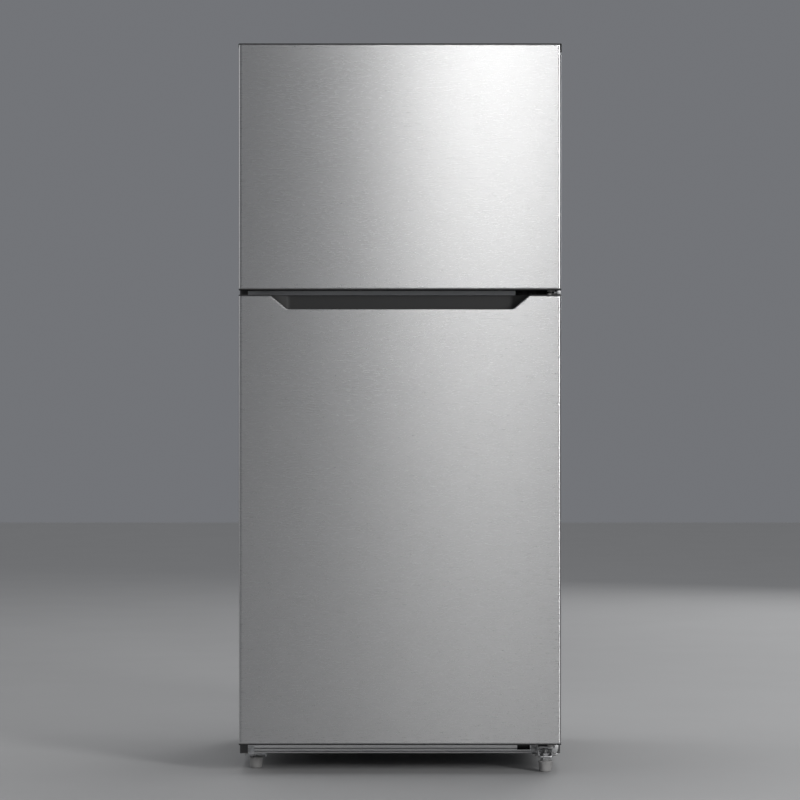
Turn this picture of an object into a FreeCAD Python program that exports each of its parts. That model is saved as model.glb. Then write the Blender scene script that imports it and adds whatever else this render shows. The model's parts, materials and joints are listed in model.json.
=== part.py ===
"""Top freezer refrigerator of the 18 cubic foot size, built as a parametric FreeCAD document.

Frame: +Z is up, the doors face -Y and +X is the right hand of someone facing them. The origin is on
the floor under the middle of the cabinet. Sizes are in millimetres, and the sheet "dim" holds them.
Both doors hang on the right hand side. Every real piece is one object, written to parts/LABEL.step.
"""
import FreeCAD, Part
import os
import re
import Sketcher

# ---------------------------------------------------------------------------------- driving sizes
SIZES = {
    # cabinet shell
    "width": 752,
    "depth": 765,
    "leg_height": 40,
    "sheet": 1.2,
    "liner_wall": 2,
    "side_wall": 50,
    "top_wall": 50,
    "back_wall": 60,
    "flange": 46,
    "flange_edge": 19,
    "lip_width": 3.8,
    "mullion_height": 64,
    "sill_height": 55,
    "rail_sheet": 2.5,
    "rail_return": 20,
    "bead_width": 14,
    "bead_depth": 3,
    "bead_inset": 90,
    "bead_margin": 150,
    # machine compartment at the bottom of the back
    "cover_step": 8,
    "machine_depth": 214,
    "machine_height": 222,
    "hump_foam": 40,
    "tray_lip": 14,
    "tray_sheet": 2.5,
    # doors
    "door_inset": 1.5,
    "door_thick": 65,
    "door_gap": 10,
    "door_corner": 6,
    "door_sill": 27.8,
    "fridge_height": 1046.4,
    "door_split": 11,
    "freezer_height": 573,
    "hinge_clear": 1.8,
    "cap_lip": 2.2,
    "cap_proud": 0.5,
    "cap_thick": 14,
    "cap_step": 8,
    "cap_front": 8,
    "cap_tab": 21,
    "panel_sheet": 3,
    "dyke_clear": 13,
    "dyke_wall": 22,
    "dyke_depth": 55,
    "gasket_inset": 24.5,
    "gasket_end": 8,
    "gasket_wide": 20,
    "gasket_clear": 0.3,
    # the finger pocket between the doors
    "pocket_margin": 72,
    "pocket_slope": 40,
    "pocket_drop": 33.3,
    "pocket_deep": 38,
    "pocket_wall": 3,
    "pocket_hook": 15,
    "pocket_front": 5,
    "grip_front": 10,
    "grip_deep": 36,
    "grip_rise": 18,
    # hinges
    "hinge_inset": 22.5,
    "hinge_setback": 30,
    "pin_radius": 4,
    "pin_clear": 0.06,
    "pin_reach": 15,
    "bush_radius": 7,
    "bush_flange": 9,
    "bush_gap": 0.3,
    "hinge_plate": 3,
    "arm_plate": 4,
    "arm_radius": 10,
    "hinge_cover_rise": 14,
    "hinge_cover_wall": 2,
    "leaf_width": 86,
    "leaf_height": 25,
    "screw_radius": 3,
    "screw_head": 6,
    "screw_head_high": 3.5,
    "screw_depth": 9,
    # feet and rollers
    "foot_inset": 36,
    "foot_set_right": 50,
    "foot_set_left": 127,
    "foot_high": 26,
    "foot_top_radius": 16.5,
    "foot_base_radius": 14,
    "foot_floor_radius": 11,
    "stud_radius": 5,
    "stud_clear": 0.1,
    "stud_top": 54,
    "boss_radius": 11.5,
    "foot_plate_low": 34,
    "roller_radius": 19,
    "roller_wide": 22,
    "roller_inset": 46,
    "roller_set": 52,
    "axle_radius": 4,
    "fork_wall": 3,
    "fork_clear": 0.6,
    # inside
    "shelf_set": 117,
    "shelf_rear_clear": 26,
    "shelf_side_clear": 4,
    "shelf_rim": 14,
    "shelf_high": 16,
    "glass_thick": 4,
    "rib_high": 6,
    "rib_deep": 8,
    "crisper_high": 196,
    "crisper_clear": 3,
    "crisper_lift": 1,
    "crisper_set": 140,
    "crisper_wall": 2.5,
    "crisper_grip": 10,
    "crisper_rear": 12,
    "bin_wall": 2.5,
    "bin_deep": 95,
    "bin_side_clear": 2,
    "control_wide": 340,
    "control_high": 46,
    "control_set": 188,
    "control_deep": 180,
    "dial_radius": 17,
    "dial_high": 12,
    "dial_shaft": 3,
    "lens_high": 6,
    "duct_wide": 150,
    "duct_deep": 22,
    "coil_space": 92,
    "cover_sheet": 3,
    "fan_radius": 56,
    "fan_hub": 15,
    "fan_high": 22,
    "motor_radius": 26,
    "motor_long": 30,
    "tube_radius": 4,
    "pipe_radius": 2.5,
    "fin_sheet": 1,
    # compressor
    "shell_radius": 76,
    "shell_high": 150,
    "shell_offset": 190,
    "grommet_high": 14,
    "grommet_radius": 12,
}

# ------------------------------------------- places worked out from the sizes, all as expressions
PLACES = {
    "side": "width / 2",
    "front": "-depth / 2",
    "rear": "depth / 2",
    "shell_rear": "rear - cover_step",
    "panel_face": "shell_rear - sheet",
    "door_back": "front + door_thick",
    "cabinet_face": "door_back + door_gap",
    "door_side": "side - door_inset",
    "fridge_low": "leg_height + door_sill",
    "fridge_top": "fridge_low + fridge_height",
    "freezer_low": "fridge_top + door_split",
    "freezer_top": "freezer_low + freezer_height",
    "door_ledge": "freezer_top - cap_step",
    "cabinet_top": "door_ledge + hinge_clear",
    "split_mid": "fridge_top + door_split / 2",
    "mullion_low": "split_mid - mullion_height / 2",
    "mullion_high": "split_mid + mullion_height / 2",
    "sill_top": "leg_height + sill_height",
    "liner_side": "side - side_wall",
    "room_side": "liner_side - liner_wall",
    "ceiling": "cabinet_top - top_wall",
    "liner_back": "panel_face - back_wall",
    "room_back": "liner_back - liner_wall",
    "machine_front": "shell_rear - machine_depth",
    "machine_top": "leg_height + machine_height",
    "hump_front": "machine_front - hump_foam",
    "hump_top": "machine_top + hump_foam",
    "fridge_floor": "sill_top + liner_wall",
    "fridge_roof": "mullion_low - liner_wall",
    "freezer_floor": "mullion_high + liner_wall",
    "freezer_roof": "ceiling - liner_wall",
    "hinge_x": "door_side - hinge_inset",
    "hinge_y": "front + hinge_setback",
    "arm_low": "split_mid - arm_plate / 2",
    "arm_high": "split_mid + arm_plate / 2",
    "sole_high": "fridge_low - 5.8",
    "sole_low": "sole_high - arm_plate",
    "dyke_back": "door_back + dyke_depth",
    "bin_back": "door_back + bin_deep",
    "shelf_front": "cabinet_face + shelf_set",
    "shelf_back": "room_back - shelf_rear_clear",
    "shelf_side": "room_side - shelf_side_clear",
    "crisper_top": "fridge_floor + crisper_lift + crisper_high",
    "cover_low": "hump_top + liner_wall + 4",
    "cover_top": "cover_low + shelf_high",
    "control_low": "fridge_roof - control_high",
    "coil_face": "room_back - coil_space",
    "freezer_shelf": "freezer_floor + (freezer_roof - freezer_floor) / 2",
    "foot_x": "side - foot_inset",
    "foot_y_right": "front + foot_set_right",
    "foot_y_left": "front + foot_set_left",
    "roller_x": "side - roller_inset",
    "roller_y": "shell_rear - roller_set",
    "shell_y": "shell_rear - machine_depth / 2",
    "tray_top": "leg_height + tray_sheet",
    "shell_low": "tray_top + grommet_high",
    "dyke_side": "room_side - dyke_clear",
}

doc = FreeCAD.newDocument("top_freezer_refrigerator")
sheet = doc.addObject("Spreadsheet::Sheet", "dim")
for row, (alias, number) in enumerate(SIZES.items(), 1):
    sheet.set(f"A{row}", alias)
    sheet.set(f"B{row}", str(number))
    sheet.setAlias(f"B{row}", alias)
doc.recompute()

Vector = FreeCAD.Vector
PLANES = {"x": "YZ_Plane", "y": "XZ_Plane", "z": "XY_Plane"}
TURNS = {
    "x": FreeCAD.Rotation(Vector(0, 1, 0), 90),
    "y": FreeCAD.Rotation(Vector(1, 0, 0), -90),
    "z": FreeCAD.Rotation(),
}
nodes = []


# ----------------------------------------------------------------------------------- small helpers
def cells(text):
    """An expression with each size written as its cell, and each place as its own expression."""

    def swap(match):
        word = match.group(0)
        if word in PLACES:
            return "(" + cells(PLACES[word]) + ")"
        return "dim." + word if word in SIZES else word

    return re.sub(r"[A-Za-z_]\w*", swap, str(text))


def number(text):
    """What an expression comes to, in millimetres."""
    return float(sheet.evalExpression(cells(text)))


def bind_place(made, at, along="z"):
    """Puts an object at three expressions, its own Z turned to point along an axis."""
    made.Placement = FreeCAD.Placement(Vector(), TURNS[along])
    for axis, place in zip("xyz", at):
        made.setExpression(f"Placement.Base.{axis}", cells(place))


def block(label, x, y, z):
    """A box between a low and a high expression on each axis."""
    made = doc.addObject("Part::Box", label)
    for size, (low, high) in zip(("Length", "Width", "Height"), (x, y, z)):
        made.setExpression(size, cells(f"({high}) - ({low})"))
    bind_place(made, (x[0], y[0], z[0]))
    return made


def rod(label, along, at, radius, length):
    """A cylinder from a start point, along an axis."""
    made = doc.addObject("Part::Cylinder", label)
    made.setExpression("Radius", cells(radius))
    made.setExpression("Height", cells(length))
    bind_place(made, at, along)
    return made


def fuse(label, *pieces):
    """One solid out of several that meet."""
    made = doc.addObject("Part::MultiFuse", label)
    made.Shapes = list(pieces)
    made.Refine = True
    return made


def cut(label, base, *tools):
    """The base with every tool taken out of it."""
    made = doc.addObject("Part::Cut", label)
    made.Base = base
    made.Tool = tools[0] if len(tools) == 1 else fuse(label + "_tools", *tools)
    made.Refine = True
    return made


def group(label, *pieces):
    """Several separate solids in one object."""
    made = doc.addObject("Part::Compound", label)
    made.Links = list(pieces)
    return made


def node(label, made):
    """Names a finished sub-part, which is written to parts/ under that name."""
    made.Label = label
    nodes.append(made)
    return made


def both(low_high):
    """The expressions from minus a place to the same place."""
    return f"-({low_high})", low_high


def outline(body, along, points, start):
    """A closed sketch of straight edges, square to an axis, with each corner bound to the sheet."""
    sketch = body.newObject("Sketcher::SketchObject", body.Name + "_sketch")
    plane = next(f for f in body.Origin.OriginFeatures if f.Role == PLANES[along])
    sketch.AttachmentSupport = [(plane, "")]
    sketch.MapMode = "FlatFace"
    sketch.setExpression("AttachmentOffset.Base.z", cells(start))
    places = [Vector(number(u), number(v), 0) for u, v in points]
    count = len(points)
    for index, place in enumerate(places):
        sketch.addGeometry(Part.LineSegment(place, places[(index + 1) % count]), False)
    for index, (u, v) in enumerate(points):
        sketch.addConstraint(Sketcher.Constraint("Coincident", index, 2, (index + 1) % count, 1))
        for kind, wanted in (("DistanceX", u), ("DistanceY", v)):
            bound = sketch.addConstraint(Sketcher.Constraint(kind, -1, 1, index, 1, number(wanted)))
            sketch.setExpression(f"Constraints[{bound}]", cells(wanted))
    return sketch


def prism(label, along, points, low, high):
    """A PartDesign pad of an outline between two places on an axis."""
    body = doc.addObject("PartDesign::Body", label)
    start = f"-({high})" if along == "y" else low
    sketch = outline(body, along, points, start)
    pad = body.newObject("PartDesign::Pad", label + "_pad")
    pad.Profile = sketch
    pad.setExpression("Length", cells(f"({high}) - ({low})"))
    return body


def rounded(body, radius, picks):
    """Fillets the edges of a body that picks accepts, given an edge's middle and its direction."""
    doc.recompute()
    tip = body.Tip
    names = []
    for index, edge in enumerate(tip.Shape.Edges, 1):
        if edge.Curve.TypeId == "Part::GeomLine" and picks(edge.CenterOfMass, edge.Curve.Direction):
            names.append(f"Edge{index}")
    fillet = body.newObject("PartDesign::Fillet", body.Name + "_round")
    fillet.Base = (tip, names)
    fillet.setExpression("Radius", cells(radius))
    return body


def upright(direction):
    """Whether an edge runs along Z."""
    return abs(direction.z) > 0.99


def turned(label, points, at, along="z"):
    """A solid of revolution from a half outline of (radius, height) points, set along an axis."""
    body = doc.addObject("PartDesign::Body", label)
    sketch = outline(body, "y", points, "0")
    spin = body.newObject("PartDesign::Revolution", label + "_spin")
    spin.Profile = sketch
    spin.ReferenceAxis = (sketch, ["V_Axis"])
    spin.Angle = 360
    bind_place(body, at, along)
    return body


def tray(label, x, y, z, wall):
    """A box with walls and a floor, open at the top."""
    outer = block(label + "_outer", x, y, z)
    inner = block(
        label + "_inner",
        (f"{x[0]} + {wall}", f"{x[1]} - {wall}"),
        (f"{y[0]} + {wall}", f"{y[1]} - {wall}"),
        (f"{z[0]} + {wall}", f"{z[1]} + 1"),
    )
    return cut(label, outer, inner)


def frame(label, outer_x, outer_z, inner_x, inner_z, y):
    """A flat rectangular ring that faces the front."""
    outer = block(label + "_outer", outer_x, y, outer_z)
    inner = block(label + "_inner", inner_x, (f"{y[0]} - 1", f"{y[1]} + 1"), inner_z)
    return cut(label, outer, inner)


# ------------------------------------------------------------------------------------ outer cabinet
def make_wrapper():
    """The painted steel sheet that is bent over the top and both sides, with its front flange."""
    inner_side = "side - sheet"
    shell = prism(
        "wrapper_shell",
        "y",
        [
            ("-side", "leg_height"),
            ("-side", "cabinet_top"),
            ("side", "cabinet_top"),
            ("side", "leg_height"),
            (inner_side, "leg_height"),
            (inner_side, "cabinet_top - sheet"),
            (f"-({inner_side})", "cabinet_top - sheet"),
            (f"-({inner_side})", "leg_height"),
        ],
        "cabinet_face",
        "shell_rear",
    )
    # beside the rails the flange is narrow; beside the rooms it reaches in to the liners
    right_edge = [
        ("side - flange_edge", "leg_height"),
        ("side - flange_edge", "sill_top"),
        ("side - flange", "sill_top"),
        ("side - flange", "mullion_low"),
        ("side - flange_edge", "mullion_low"),
        ("side - flange_edge", "mullion_high"),
        ("side - flange", "mullion_high"),
        ("side - flange", "ceiling + 2"),
    ]
    left_edge = [(f"-({x})", z) for x, z in reversed(right_edge)]
    corners = [("-side", "leg_height"), ("-side", "cabinet_top")]
    corners += [("side", "cabinet_top"), ("side", "leg_height")]
    flange = prism(
        "wrapper_flange",
        "y",
        corners + right_edge + left_edge,
        "cabinet_face",
        "cabinet_face + sheet",
    )
    whole = fuse("wrapper_whole", shell, flange)
    holes = [
        rod(f"wrapper_hole_{i}", "z", (x, y, "cabinet_top - sheet - 1"), "screw_radius + 0.1", "sheet + 2")
        for i, (x, y) in enumerate(TOP_SCREWS)
    ]
    node("cabinet_wrapper", cut("wrapper", whole, *holes))


def make_back_panel():
    """The sheet that closes the back above the machine compartment, with three stiffening beads."""
    panel = block(
        "back_sheet", both("side - sheet"), ("panel_face", "shell_rear"),
        ("machine_top", "cabinet_top - sheet")
    )
    beads = [
        block(
            f"bead_{i}",
            (f"{middle} - bead_width / 2", f"{middle} + bead_width / 2"),
            ("shell_rear", "shell_rear + bead_depth"),
            ("machine_top + bead_margin", "cabinet_top - bead_margin"),
        )
        for i, middle in enumerate(("-(side - bead_inset) * 0.7", "0", "(side - bead_inset) * 0.7"))
    ]
    node("back_panel", fuse("back", panel, *beads))


def make_deck():
    """The bottom sheet: level behind the front rail, then up and over the machine compartment."""
    low = "leg_height"
    bend = "machine_front - sheet"
    deck = prism(
        "deck",
        "x",
        [
            ("cabinet_face + rail_return", low),
            ("machine_front", low),
            ("machine_front", "machine_top"),
            ("panel_face", "machine_top"),
            ("panel_face", "machine_top + sheet"),
            (bend, "machine_top + sheet"),
            (bend, f"{low} + sheet"),
            ("cabinet_face + rail_return", f"{low} + sheet"),
        ],
        "-(side - sheet)",
        "side - sheet",
    )
    hole = rod(
        "deck_stud_hole", "z", ("-foot_x", "foot_y_left", f"{low} - 1"), "stud_radius + 1", "sheet + 2"
    )
    node("base_deck", cut("deck_drilled", deck, hole))


def make_tray():
    """The steel tray across the bottom of the machine compartment, which carries the compressor."""
    low = "leg_height"
    made = prism(
        "tray",
        "x",
        [
            ("machine_front", low),
            ("shell_rear - 2", low),
            ("shell_rear - 2", f"{low} + tray_lip"),
            ("shell_rear - 2 - tray_sheet", f"{low} + tray_lip"),
            ("shell_rear - 2 - tray_sheet", "tray_top"),
            ("machine_front + tray_sheet", "tray_top"),
            ("machine_front + tray_sheet", f"{low} + tray_lip"),
            ("machine_front", f"{low} + tray_lip"),
        ],
        "-(side - sheet)",
        "side - sheet",
    )
    node("compressor_tray", made)


def fridge_room(label, grow):
    """The inside of the fridge compartment as a solid, grown by grow on every closed side."""
    return prism(
        label,
        "x",
        [
            ("cabinet_face", f"fridge_floor - {grow}"),
            (f"hump_front - {grow}", f"fridge_floor - {grow}"),
            (f"hump_front - {grow}", f"hump_top + liner_wall - {grow}"),
            (f"room_back + {grow}", f"hump_top + liner_wall - {grow}"),
            (f"room_back + {grow}", f"fridge_roof + {grow}"),
            ("cabinet_face", f"fridge_roof + {grow}"),
        ],
        f"-(room_side + {grow})",
        f"room_side + {grow}",
    )


def freezer_room(label, grow):
    """The inside of the freezer compartment as a solid, grown by grow on every closed side."""
    return block(
        label,
        both(f"room_side + {grow}"),
        ("cabinet_face", f"room_back + {grow}"),
        (f"freezer_floor - {grow}", f"freezer_roof + {grow}"),
    )


def shelf_ribs(label, heights, back):
    """Pairs of ledges on the side walls of a liner, one pair under each shelf."""
    made = []
    for i, height in enumerate(heights):
        for hand, x in (("left", ("-room_side - 0.5", "-room_side + rib_deep")),
                        ("right", ("room_side - rib_deep", "room_side + 0.5"))):
            z = (f"{height} - rib_high", height)
            made.append(block(f"{label}_{i}_{hand}", x, ("shelf_front + 10", back), z))
    return made


def liner_lip(label, low, high):
    """The narrow return of a liner that shows beside the cabinet's flange."""
    return frame(
        label, both("liner_side + lip_width"), (low, high), both("room_side"),
        (f"{low} + liner_wall", f"{high} - 2"),
        ("cabinet_face", "cabinet_face + liner_wall"),
    )


def make_liners():
    """The two white plastic liners, with ledges for the shelves."""
    shell = cut("freezer_shell", freezer_room("freezer_outer", "liner_wall"),
                freezer_room("freezer_inner", "0"))
    ribs = shelf_ribs("freezer_rib", ["freezer_shelf"], "coil_face - 10")
    lip = liner_lip("freezer_lip", "mullion_high", "ceiling + 1.8")
    node("freezer_liner", fuse("freezer_liner_whole", shell, lip, *ribs))
    shell = cut("fridge_shell", fridge_room("fridge_outer", "liner_wall"), fridge_room("fridge_inner", "0"))
    ribs = shelf_ribs("fridge_rib", [*FRIDGE_SHELVES, "cover_low"], "shelf_back")
    lip = liner_lip("fridge_lip", "sill_top", "mullion_low")
    node("fridge_liner", fuse("fridge_liner_whole", shell, lip, *ribs))


def make_foam():
    """The blown foam between the shell and the liners."""
    whole = block(
        "foam_whole",
        both("side - sheet"),
        ("cabinet_face + sheet", "panel_face"),
        ("leg_height + sheet", "cabinet_top - sheet"),
    )
    machine = block(
        "foam_machine",
        both("side"),
        ("machine_front - sheet", "rear"),
        ("leg_height", "machine_top + sheet"),
    )
    sides = "liner_side + lip_width"
    face = ("front", "cabinet_face + liner_wall")
    lips = [
        block("foam_freezer_lip", both(sides), face, ("mullion_high", "ceiling + 1.8")),
        block("foam_fridge_lip", both(sides), face, ("sill_top", "mullion_low")),
    ]
    rails = [
        block("foam_mullion", both("side - flange_edge"), ("front", "cabinet_face + rail_return"),
              ("mullion_low", "mullion_high")),
        block("foam_sill", both("side - flange_edge"), ("front", "cabinet_face + rail_return"),
              ("leg_height", "sill_top")),
    ]
    stud = rod(
        "foam_stud", "z", ("-foot_x", "foot_y_left", "leg_height"), "stud_radius + 2", "screw_depth * 3.5"
    )
    screws = [
        rod(f"foam_screw_{i}", "z", (x, y, "cabinet_top - screw_depth - 2"), "screw_radius + 0.3",
            "screw_depth + 2")
        for i, (x, y) in enumerate(TOP_SCREWS)
    ]
    rooms = [freezer_room("foam_freezer", "liner_wall"), fridge_room("foam_fridge", "liner_wall")]
    node("cabinet_foam", cut("foam", whole, machine, *rooms, *lips, *rails, stud, *screws))


def rail(label, low, high):
    """A front rail: a face with a return along its top and its bottom."""
    return prism(
        label,
        "x",
        [
            ("cabinet_face", low),
            ("cabinet_face + rail_return", low),
            ("cabinet_face + rail_return", f"{low} + rail_sheet"),
            ("cabinet_face + rail_sheet", f"{low} + rail_sheet"),
            ("cabinet_face + rail_sheet", f"{high} - rail_sheet"),
            ("cabinet_face + rail_return", f"{high} - rail_sheet"),
            ("cabinet_face + rail_return", high),
            ("cabinet_face", high),
        ],
        "-(side - flange_edge)",
        "side - flange_edge",
    )


def make_rails():
    """The mullion rail between the rooms and the sill rail under the fridge."""
    holes = [
        rod(f"mullion_hole_{i}", "y", (x, "cabinet_face - 1", "split_mid"), "screw_radius + 0.1",
            "rail_sheet + 2")
        for i, x in enumerate(MIDDLE_SCREWS)
    ]
    node("mullion_rail", cut("mullion", rail("mullion_bar", "mullion_low", "mullion_high"), *holes))
    grooves = [
        block(f"sill_groove_{i}", both("side"), ("cabinet_face - 1", "cabinet_face + rail_sheet / 2"),
              (f"leg_height + {z}", f"leg_height + {z} + 3"))
        for i, z in enumerate((3.7, 10.2))
    ]
    slot = block(
        "sill_slot",
        ("hinge_x - 77", "hinge_x - 47"),
        ("cabinet_face - 1", "cabinet_face + rail_sheet + 1"),
        ("leg_height + 7.6", "leg_height + 23"),
    )
    holes = [
        rod(f"sill_hole_{i}", "y", (x, "cabinet_face - 1", SOLE_SCREW_Z), "screw_radius + 0.1",
            "rail_sheet + 2")
        for i, x in enumerate(SOLE_SCREWS)
    ]
    node("bottom_rail", cut("sill", rail("sill_bar", "leg_height", "sill_top"), *grooves, slot, *holes))


# ------------------------------------------------------------------------------------------- hinges
TOP_SCREWS = [
    ("hinge_x - 52", "cabinet_face + 28"),
    ("hinge_x + 2", "cabinet_face + 28"),
    ("hinge_x - 25", "cabinet_face + 66"),
]
MIDDLE_SCREWS = ["hinge_x - 72", "hinge_x - 49", "hinge_x - 26"]
SOLE_SCREWS = ["hinge_x - 37", "foot_x"]
SOLE_SCREW_Z = "leg_height + 10"


def arm(label, low, high, half_wide, back="cabinet_face"):
    """A level hinge arm from the cabinet's face to a round end about the hinge line."""
    bar = block(
        label + "_bar", (f"hinge_x - {half_wide}", f"hinge_x + {half_wide}"), ("hinge_y", back), (low, high)
    )
    return bar, rod(label + "_end", "z", ("hinge_x", "hinge_y", low), half_wide, f"({high}) - ({low})")


def make_top_hinge():
    """The plate screwed to the cabinet's top, with the pin that the freezer door hangs from."""
    bar, end = arm("top_arm", "cabinet_top", "cabinet_top + hinge_plate", "arm_radius", "cabinet_face + 10")
    seat = block(
        "top_seat",
        ("hinge_x - 66", "hinge_x + arm_radius"),
        ("cabinet_face + hinge_cover_wall + 0.5", "cabinet_face + 82"),
        ("cabinet_top", "cabinet_top + hinge_plate"),
    )
    pin = rod("top_pin", "z", ("hinge_x", "hinge_y", "door_ledge - pin_reach"), "pin_radius",
              "pin_reach + hinge_clear + hinge_plate")
    holes = [
        rod(f"top_hole_{i}", "z", (x, y, "cabinet_top - 1"), "screw_radius + 0.1", "hinge_plate + 2")
        for i, (x, y) in enumerate(TOP_SCREWS)
    ]
    node("top_hinge", cut("top_hinge_whole", fuse("top_hinge_solid", bar, end, seat, pin), *holes))
    cover_x = ("hinge_x - 72", "hinge_x + 20")
    cover_y = ("cabinet_face", "cabinet_face + 90")
    cover_z = ("cabinet_top", "cabinet_top + hinge_cover_rise")
    outer = block("cover_outer", cover_x, cover_y, cover_z)
    inner = block(
        "cover_inner",
        tuple(f"{x} {s} hinge_cover_wall" for x, s in zip(cover_x, "+-")),
        tuple(f"{y} {s} hinge_cover_wall" for y, s in zip(cover_y, "+-")),
        ("cabinet_top - 1", "cabinet_top + hinge_cover_rise - hinge_cover_wall"),
    )
    mouth = block("cover_mouth", ("hinge_x - arm_radius - 1", "hinge_x + arm_radius + 1"),
                  ("cabinet_face - 1", "cabinet_face + hinge_cover_wall + 1"),
                  ("cabinet_top - 1", "cabinet_top + hinge_plate + 1"))
    node("top_hinge_cover", cut("cover", outer, inner, mouth))


def make_middle_hinge():
    """The leaf on the mullion with one pin up into the freezer door and one down into the fridge door."""
    bar, end = arm("middle_arm", "arm_low", "arm_high", "arm_radius")
    leaf = block(
        "middle_leaf",
        ("hinge_x + 5 - leaf_width", "hinge_x + 5"),
        ("cabinet_face - hinge_plate", "cabinet_face"),
        ("split_mid - leaf_height / 2", "split_mid + leaf_height / 2"),
    )
    pin = rod("middle_pin", "z", ("hinge_x", "hinge_y", "fridge_top - pin_reach"), "pin_radius",
              "2 * pin_reach + door_split")
    holes = [
        rod(f"leaf_hole_{i}", "y", (x, "cabinet_face - hinge_plate - 1", "split_mid"), "screw_radius + 0.1",
            "hinge_plate + 2")
        for i, x in enumerate(MIDDLE_SCREWS)
    ]
    stop_y = ("front + 5", "front + 18")
    stop = block("middle_stop", ("hinge_x + 12", "side - 2"), stop_y, ("fridge_top + 1", "freezer_low - 1"))
    link = block("middle_stop_link", ("hinge_x", "hinge_x + 13"), ("front + 10", "hinge_y"),
                 ("arm_low", "arm_high"))
    node("middle_hinge", cut("middle_whole", fuse("middle_solid", bar, end, leaf, pin, stop, link), *holes))


def make_bottom_hinge():
    """The bracket under the fridge door: leaf, sole with the pin, two cheeks and the foot's plate."""
    bar, end = arm("sole", "sole_low", "sole_high", "arm_radius")
    plate_x = ("foot_x - 17", "foot_x + 17")
    leaf = block(
        "sole_leaf",
        ("hinge_x - 45", "hinge_x + 20"),
        ("cabinet_face - arm_plate", "cabinet_face"),
        ("foot_plate_low", "sole_high"),
    )
    plate = block("foot_plate", plate_x, ("foot_y_right - 15", "cabinet_face"),
                  ("foot_plate_low", "foot_plate_low + 4"))
    cheeks = [
        block(f"cheek_{i}", x, ("foot_y_right", "cabinet_face"), ("foot_plate_low", "sole_high"))
        for i, x in enumerate((("foot_x - 17", "foot_x - 14"), ("foot_x + 14", "foot_x + 17")))
    ]
    deck = block("sole_deck", ("hinge_x - 45", "hinge_x + 20"), ("cabinet_face - 1", "cabinet_face + 60"),
                 ("leg_height - 3", "leg_height"))
    wide = block("sole_wide", ("foot_x - 17", "hinge_x + arm_radius"), ("hinge_y", "cabinet_face"),
                 ("sole_low", "sole_high"))
    pin = rod("sole_pin", "z", ("hinge_x", "hinge_y", "sole_low"), "pin_radius",
              "fridge_low + pin_reach - (sole_low)")
    boss = rod("foot_boss", "z", ("foot_x", "foot_y_right", "foot_high + 0.4"), "boss_radius",
               "foot_plate_low - foot_high")
    stud_hole = rod("sole_stud_hole", "z", ("foot_x", "foot_y_right", "foot_high - 1"),
                    "stud_radius + stud_clear", "foot_plate_low - foot_high + 6")
    holes = [
        rod(f"sole_screw_hole_{i}", "y", (x, "cabinet_face - arm_plate - 1", SOLE_SCREW_Z),
            "screw_radius + 0.1",
            "arm_plate + 2")
        for i, x in enumerate(SOLE_SCREWS)
    ]
    solid = fuse("sole_solid", bar, end, leaf, plate, *cheeks, deck, wide, pin, boss)
    node("bottom_hinge", cut("sole_whole", solid, stud_hole, *holes))


def make_hinge_screws():
    """The pan head screws of the three hinges."""
    made = []
    for i, (x, y) in enumerate(TOP_SCREWS):
        head = rod(f"top_head_{i}", "z", (x, y, "cabinet_top + hinge_plate"), "screw_head",
                   "screw_head_high")
        shank = rod(f"top_shank_{i}", "z", (x, y, "cabinet_top - screw_depth"), "screw_radius",
                    "screw_depth + hinge_plate")
        made.append(fuse(f"top_screw_{i}", head, shank))
    for name, screws, z, plate in (
        ("middle", MIDDLE_SCREWS, "split_mid", "hinge_plate"),
        ("sole", SOLE_SCREWS, SOLE_SCREW_Z, "arm_plate"),
    ):
        for i, x in enumerate(screws):
            head = rod(f"{name}_head_{i}", "y", (x, f"cabinet_face - {plate} - screw_head_high", z),
                       "screw_head",
                       "screw_head_high")
            shank = rod(f"{name}_shank_{i}", "y", (x, f"cabinet_face - {plate}", z), "screw_radius",
                        f"{plate} + screw_depth")
            made.append(fuse(f"{name}_screw_{i}", head, shank))
    node("hinge_screws", group("hinge_screw_set", *made))


# --------------------------------------------------------------------------------- feet and rollers
def make_feet():
    """The two levelling feet: a moulded foot and threaded stem in one piece each."""
    profile = [
        ("0", "0"),
        ("foot_floor_radius", "0"),
        ("foot_base_radius", "3"),
        ("foot_top_radius", "foot_high - 3"),
        ("foot_top_radius", "foot_high"),
        ("stud_radius", "foot_high"),
        ("stud_radius", "stud_top"),
        ("0", "stud_top"),
    ]
    node("front_foot_right", turned("foot_right", profile, ("foot_x", "foot_y_right", "0")))
    node("front_foot_left", turned("foot_left", profile, ("-foot_x", "foot_y_left", "0")))
    pad = block(
        "left_pad",
        ("-foot_x - 26", "-foot_x + 26"),
        ("foot_y_left - 40", "foot_y_left + 30"),
        ("leg_height - 4", "leg_height"),
    )
    ears = [
        block(f"left_ear_{i}", x, ("foot_y_left - 40", "foot_y_left + 30"),
              ("leg_height - 9", "leg_height"))
        for i, x in enumerate((("-foot_x - 26", "-foot_x - 23"), ("-foot_x + 23", "-foot_x + 26")))
    ]
    hole = rod("left_pad_hole", "z", ("-foot_x", "foot_y_left", "leg_height - 6"),
               "stud_radius + stud_clear", "8")
    strap_x = ("-(side - flange_edge) + 1", "-(side - flange_edge) + 15")
    strap = block("left_strap", strap_x, ("cabinet_face - 1.5", "foot_y_left - 39"),
                  ("leg_height - 4", "leg_height"))
    leaf = block("left_leaf", strap_x, ("cabinet_face - 1.5", "cabinet_face"),
                 ("leg_height - 4", "leg_height + 18"))
    node("left_foot_bracket", cut("left_bracket", fuse("left_bracket_solid", pad, strap, leaf, *ears),
                                  hole))


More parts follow.
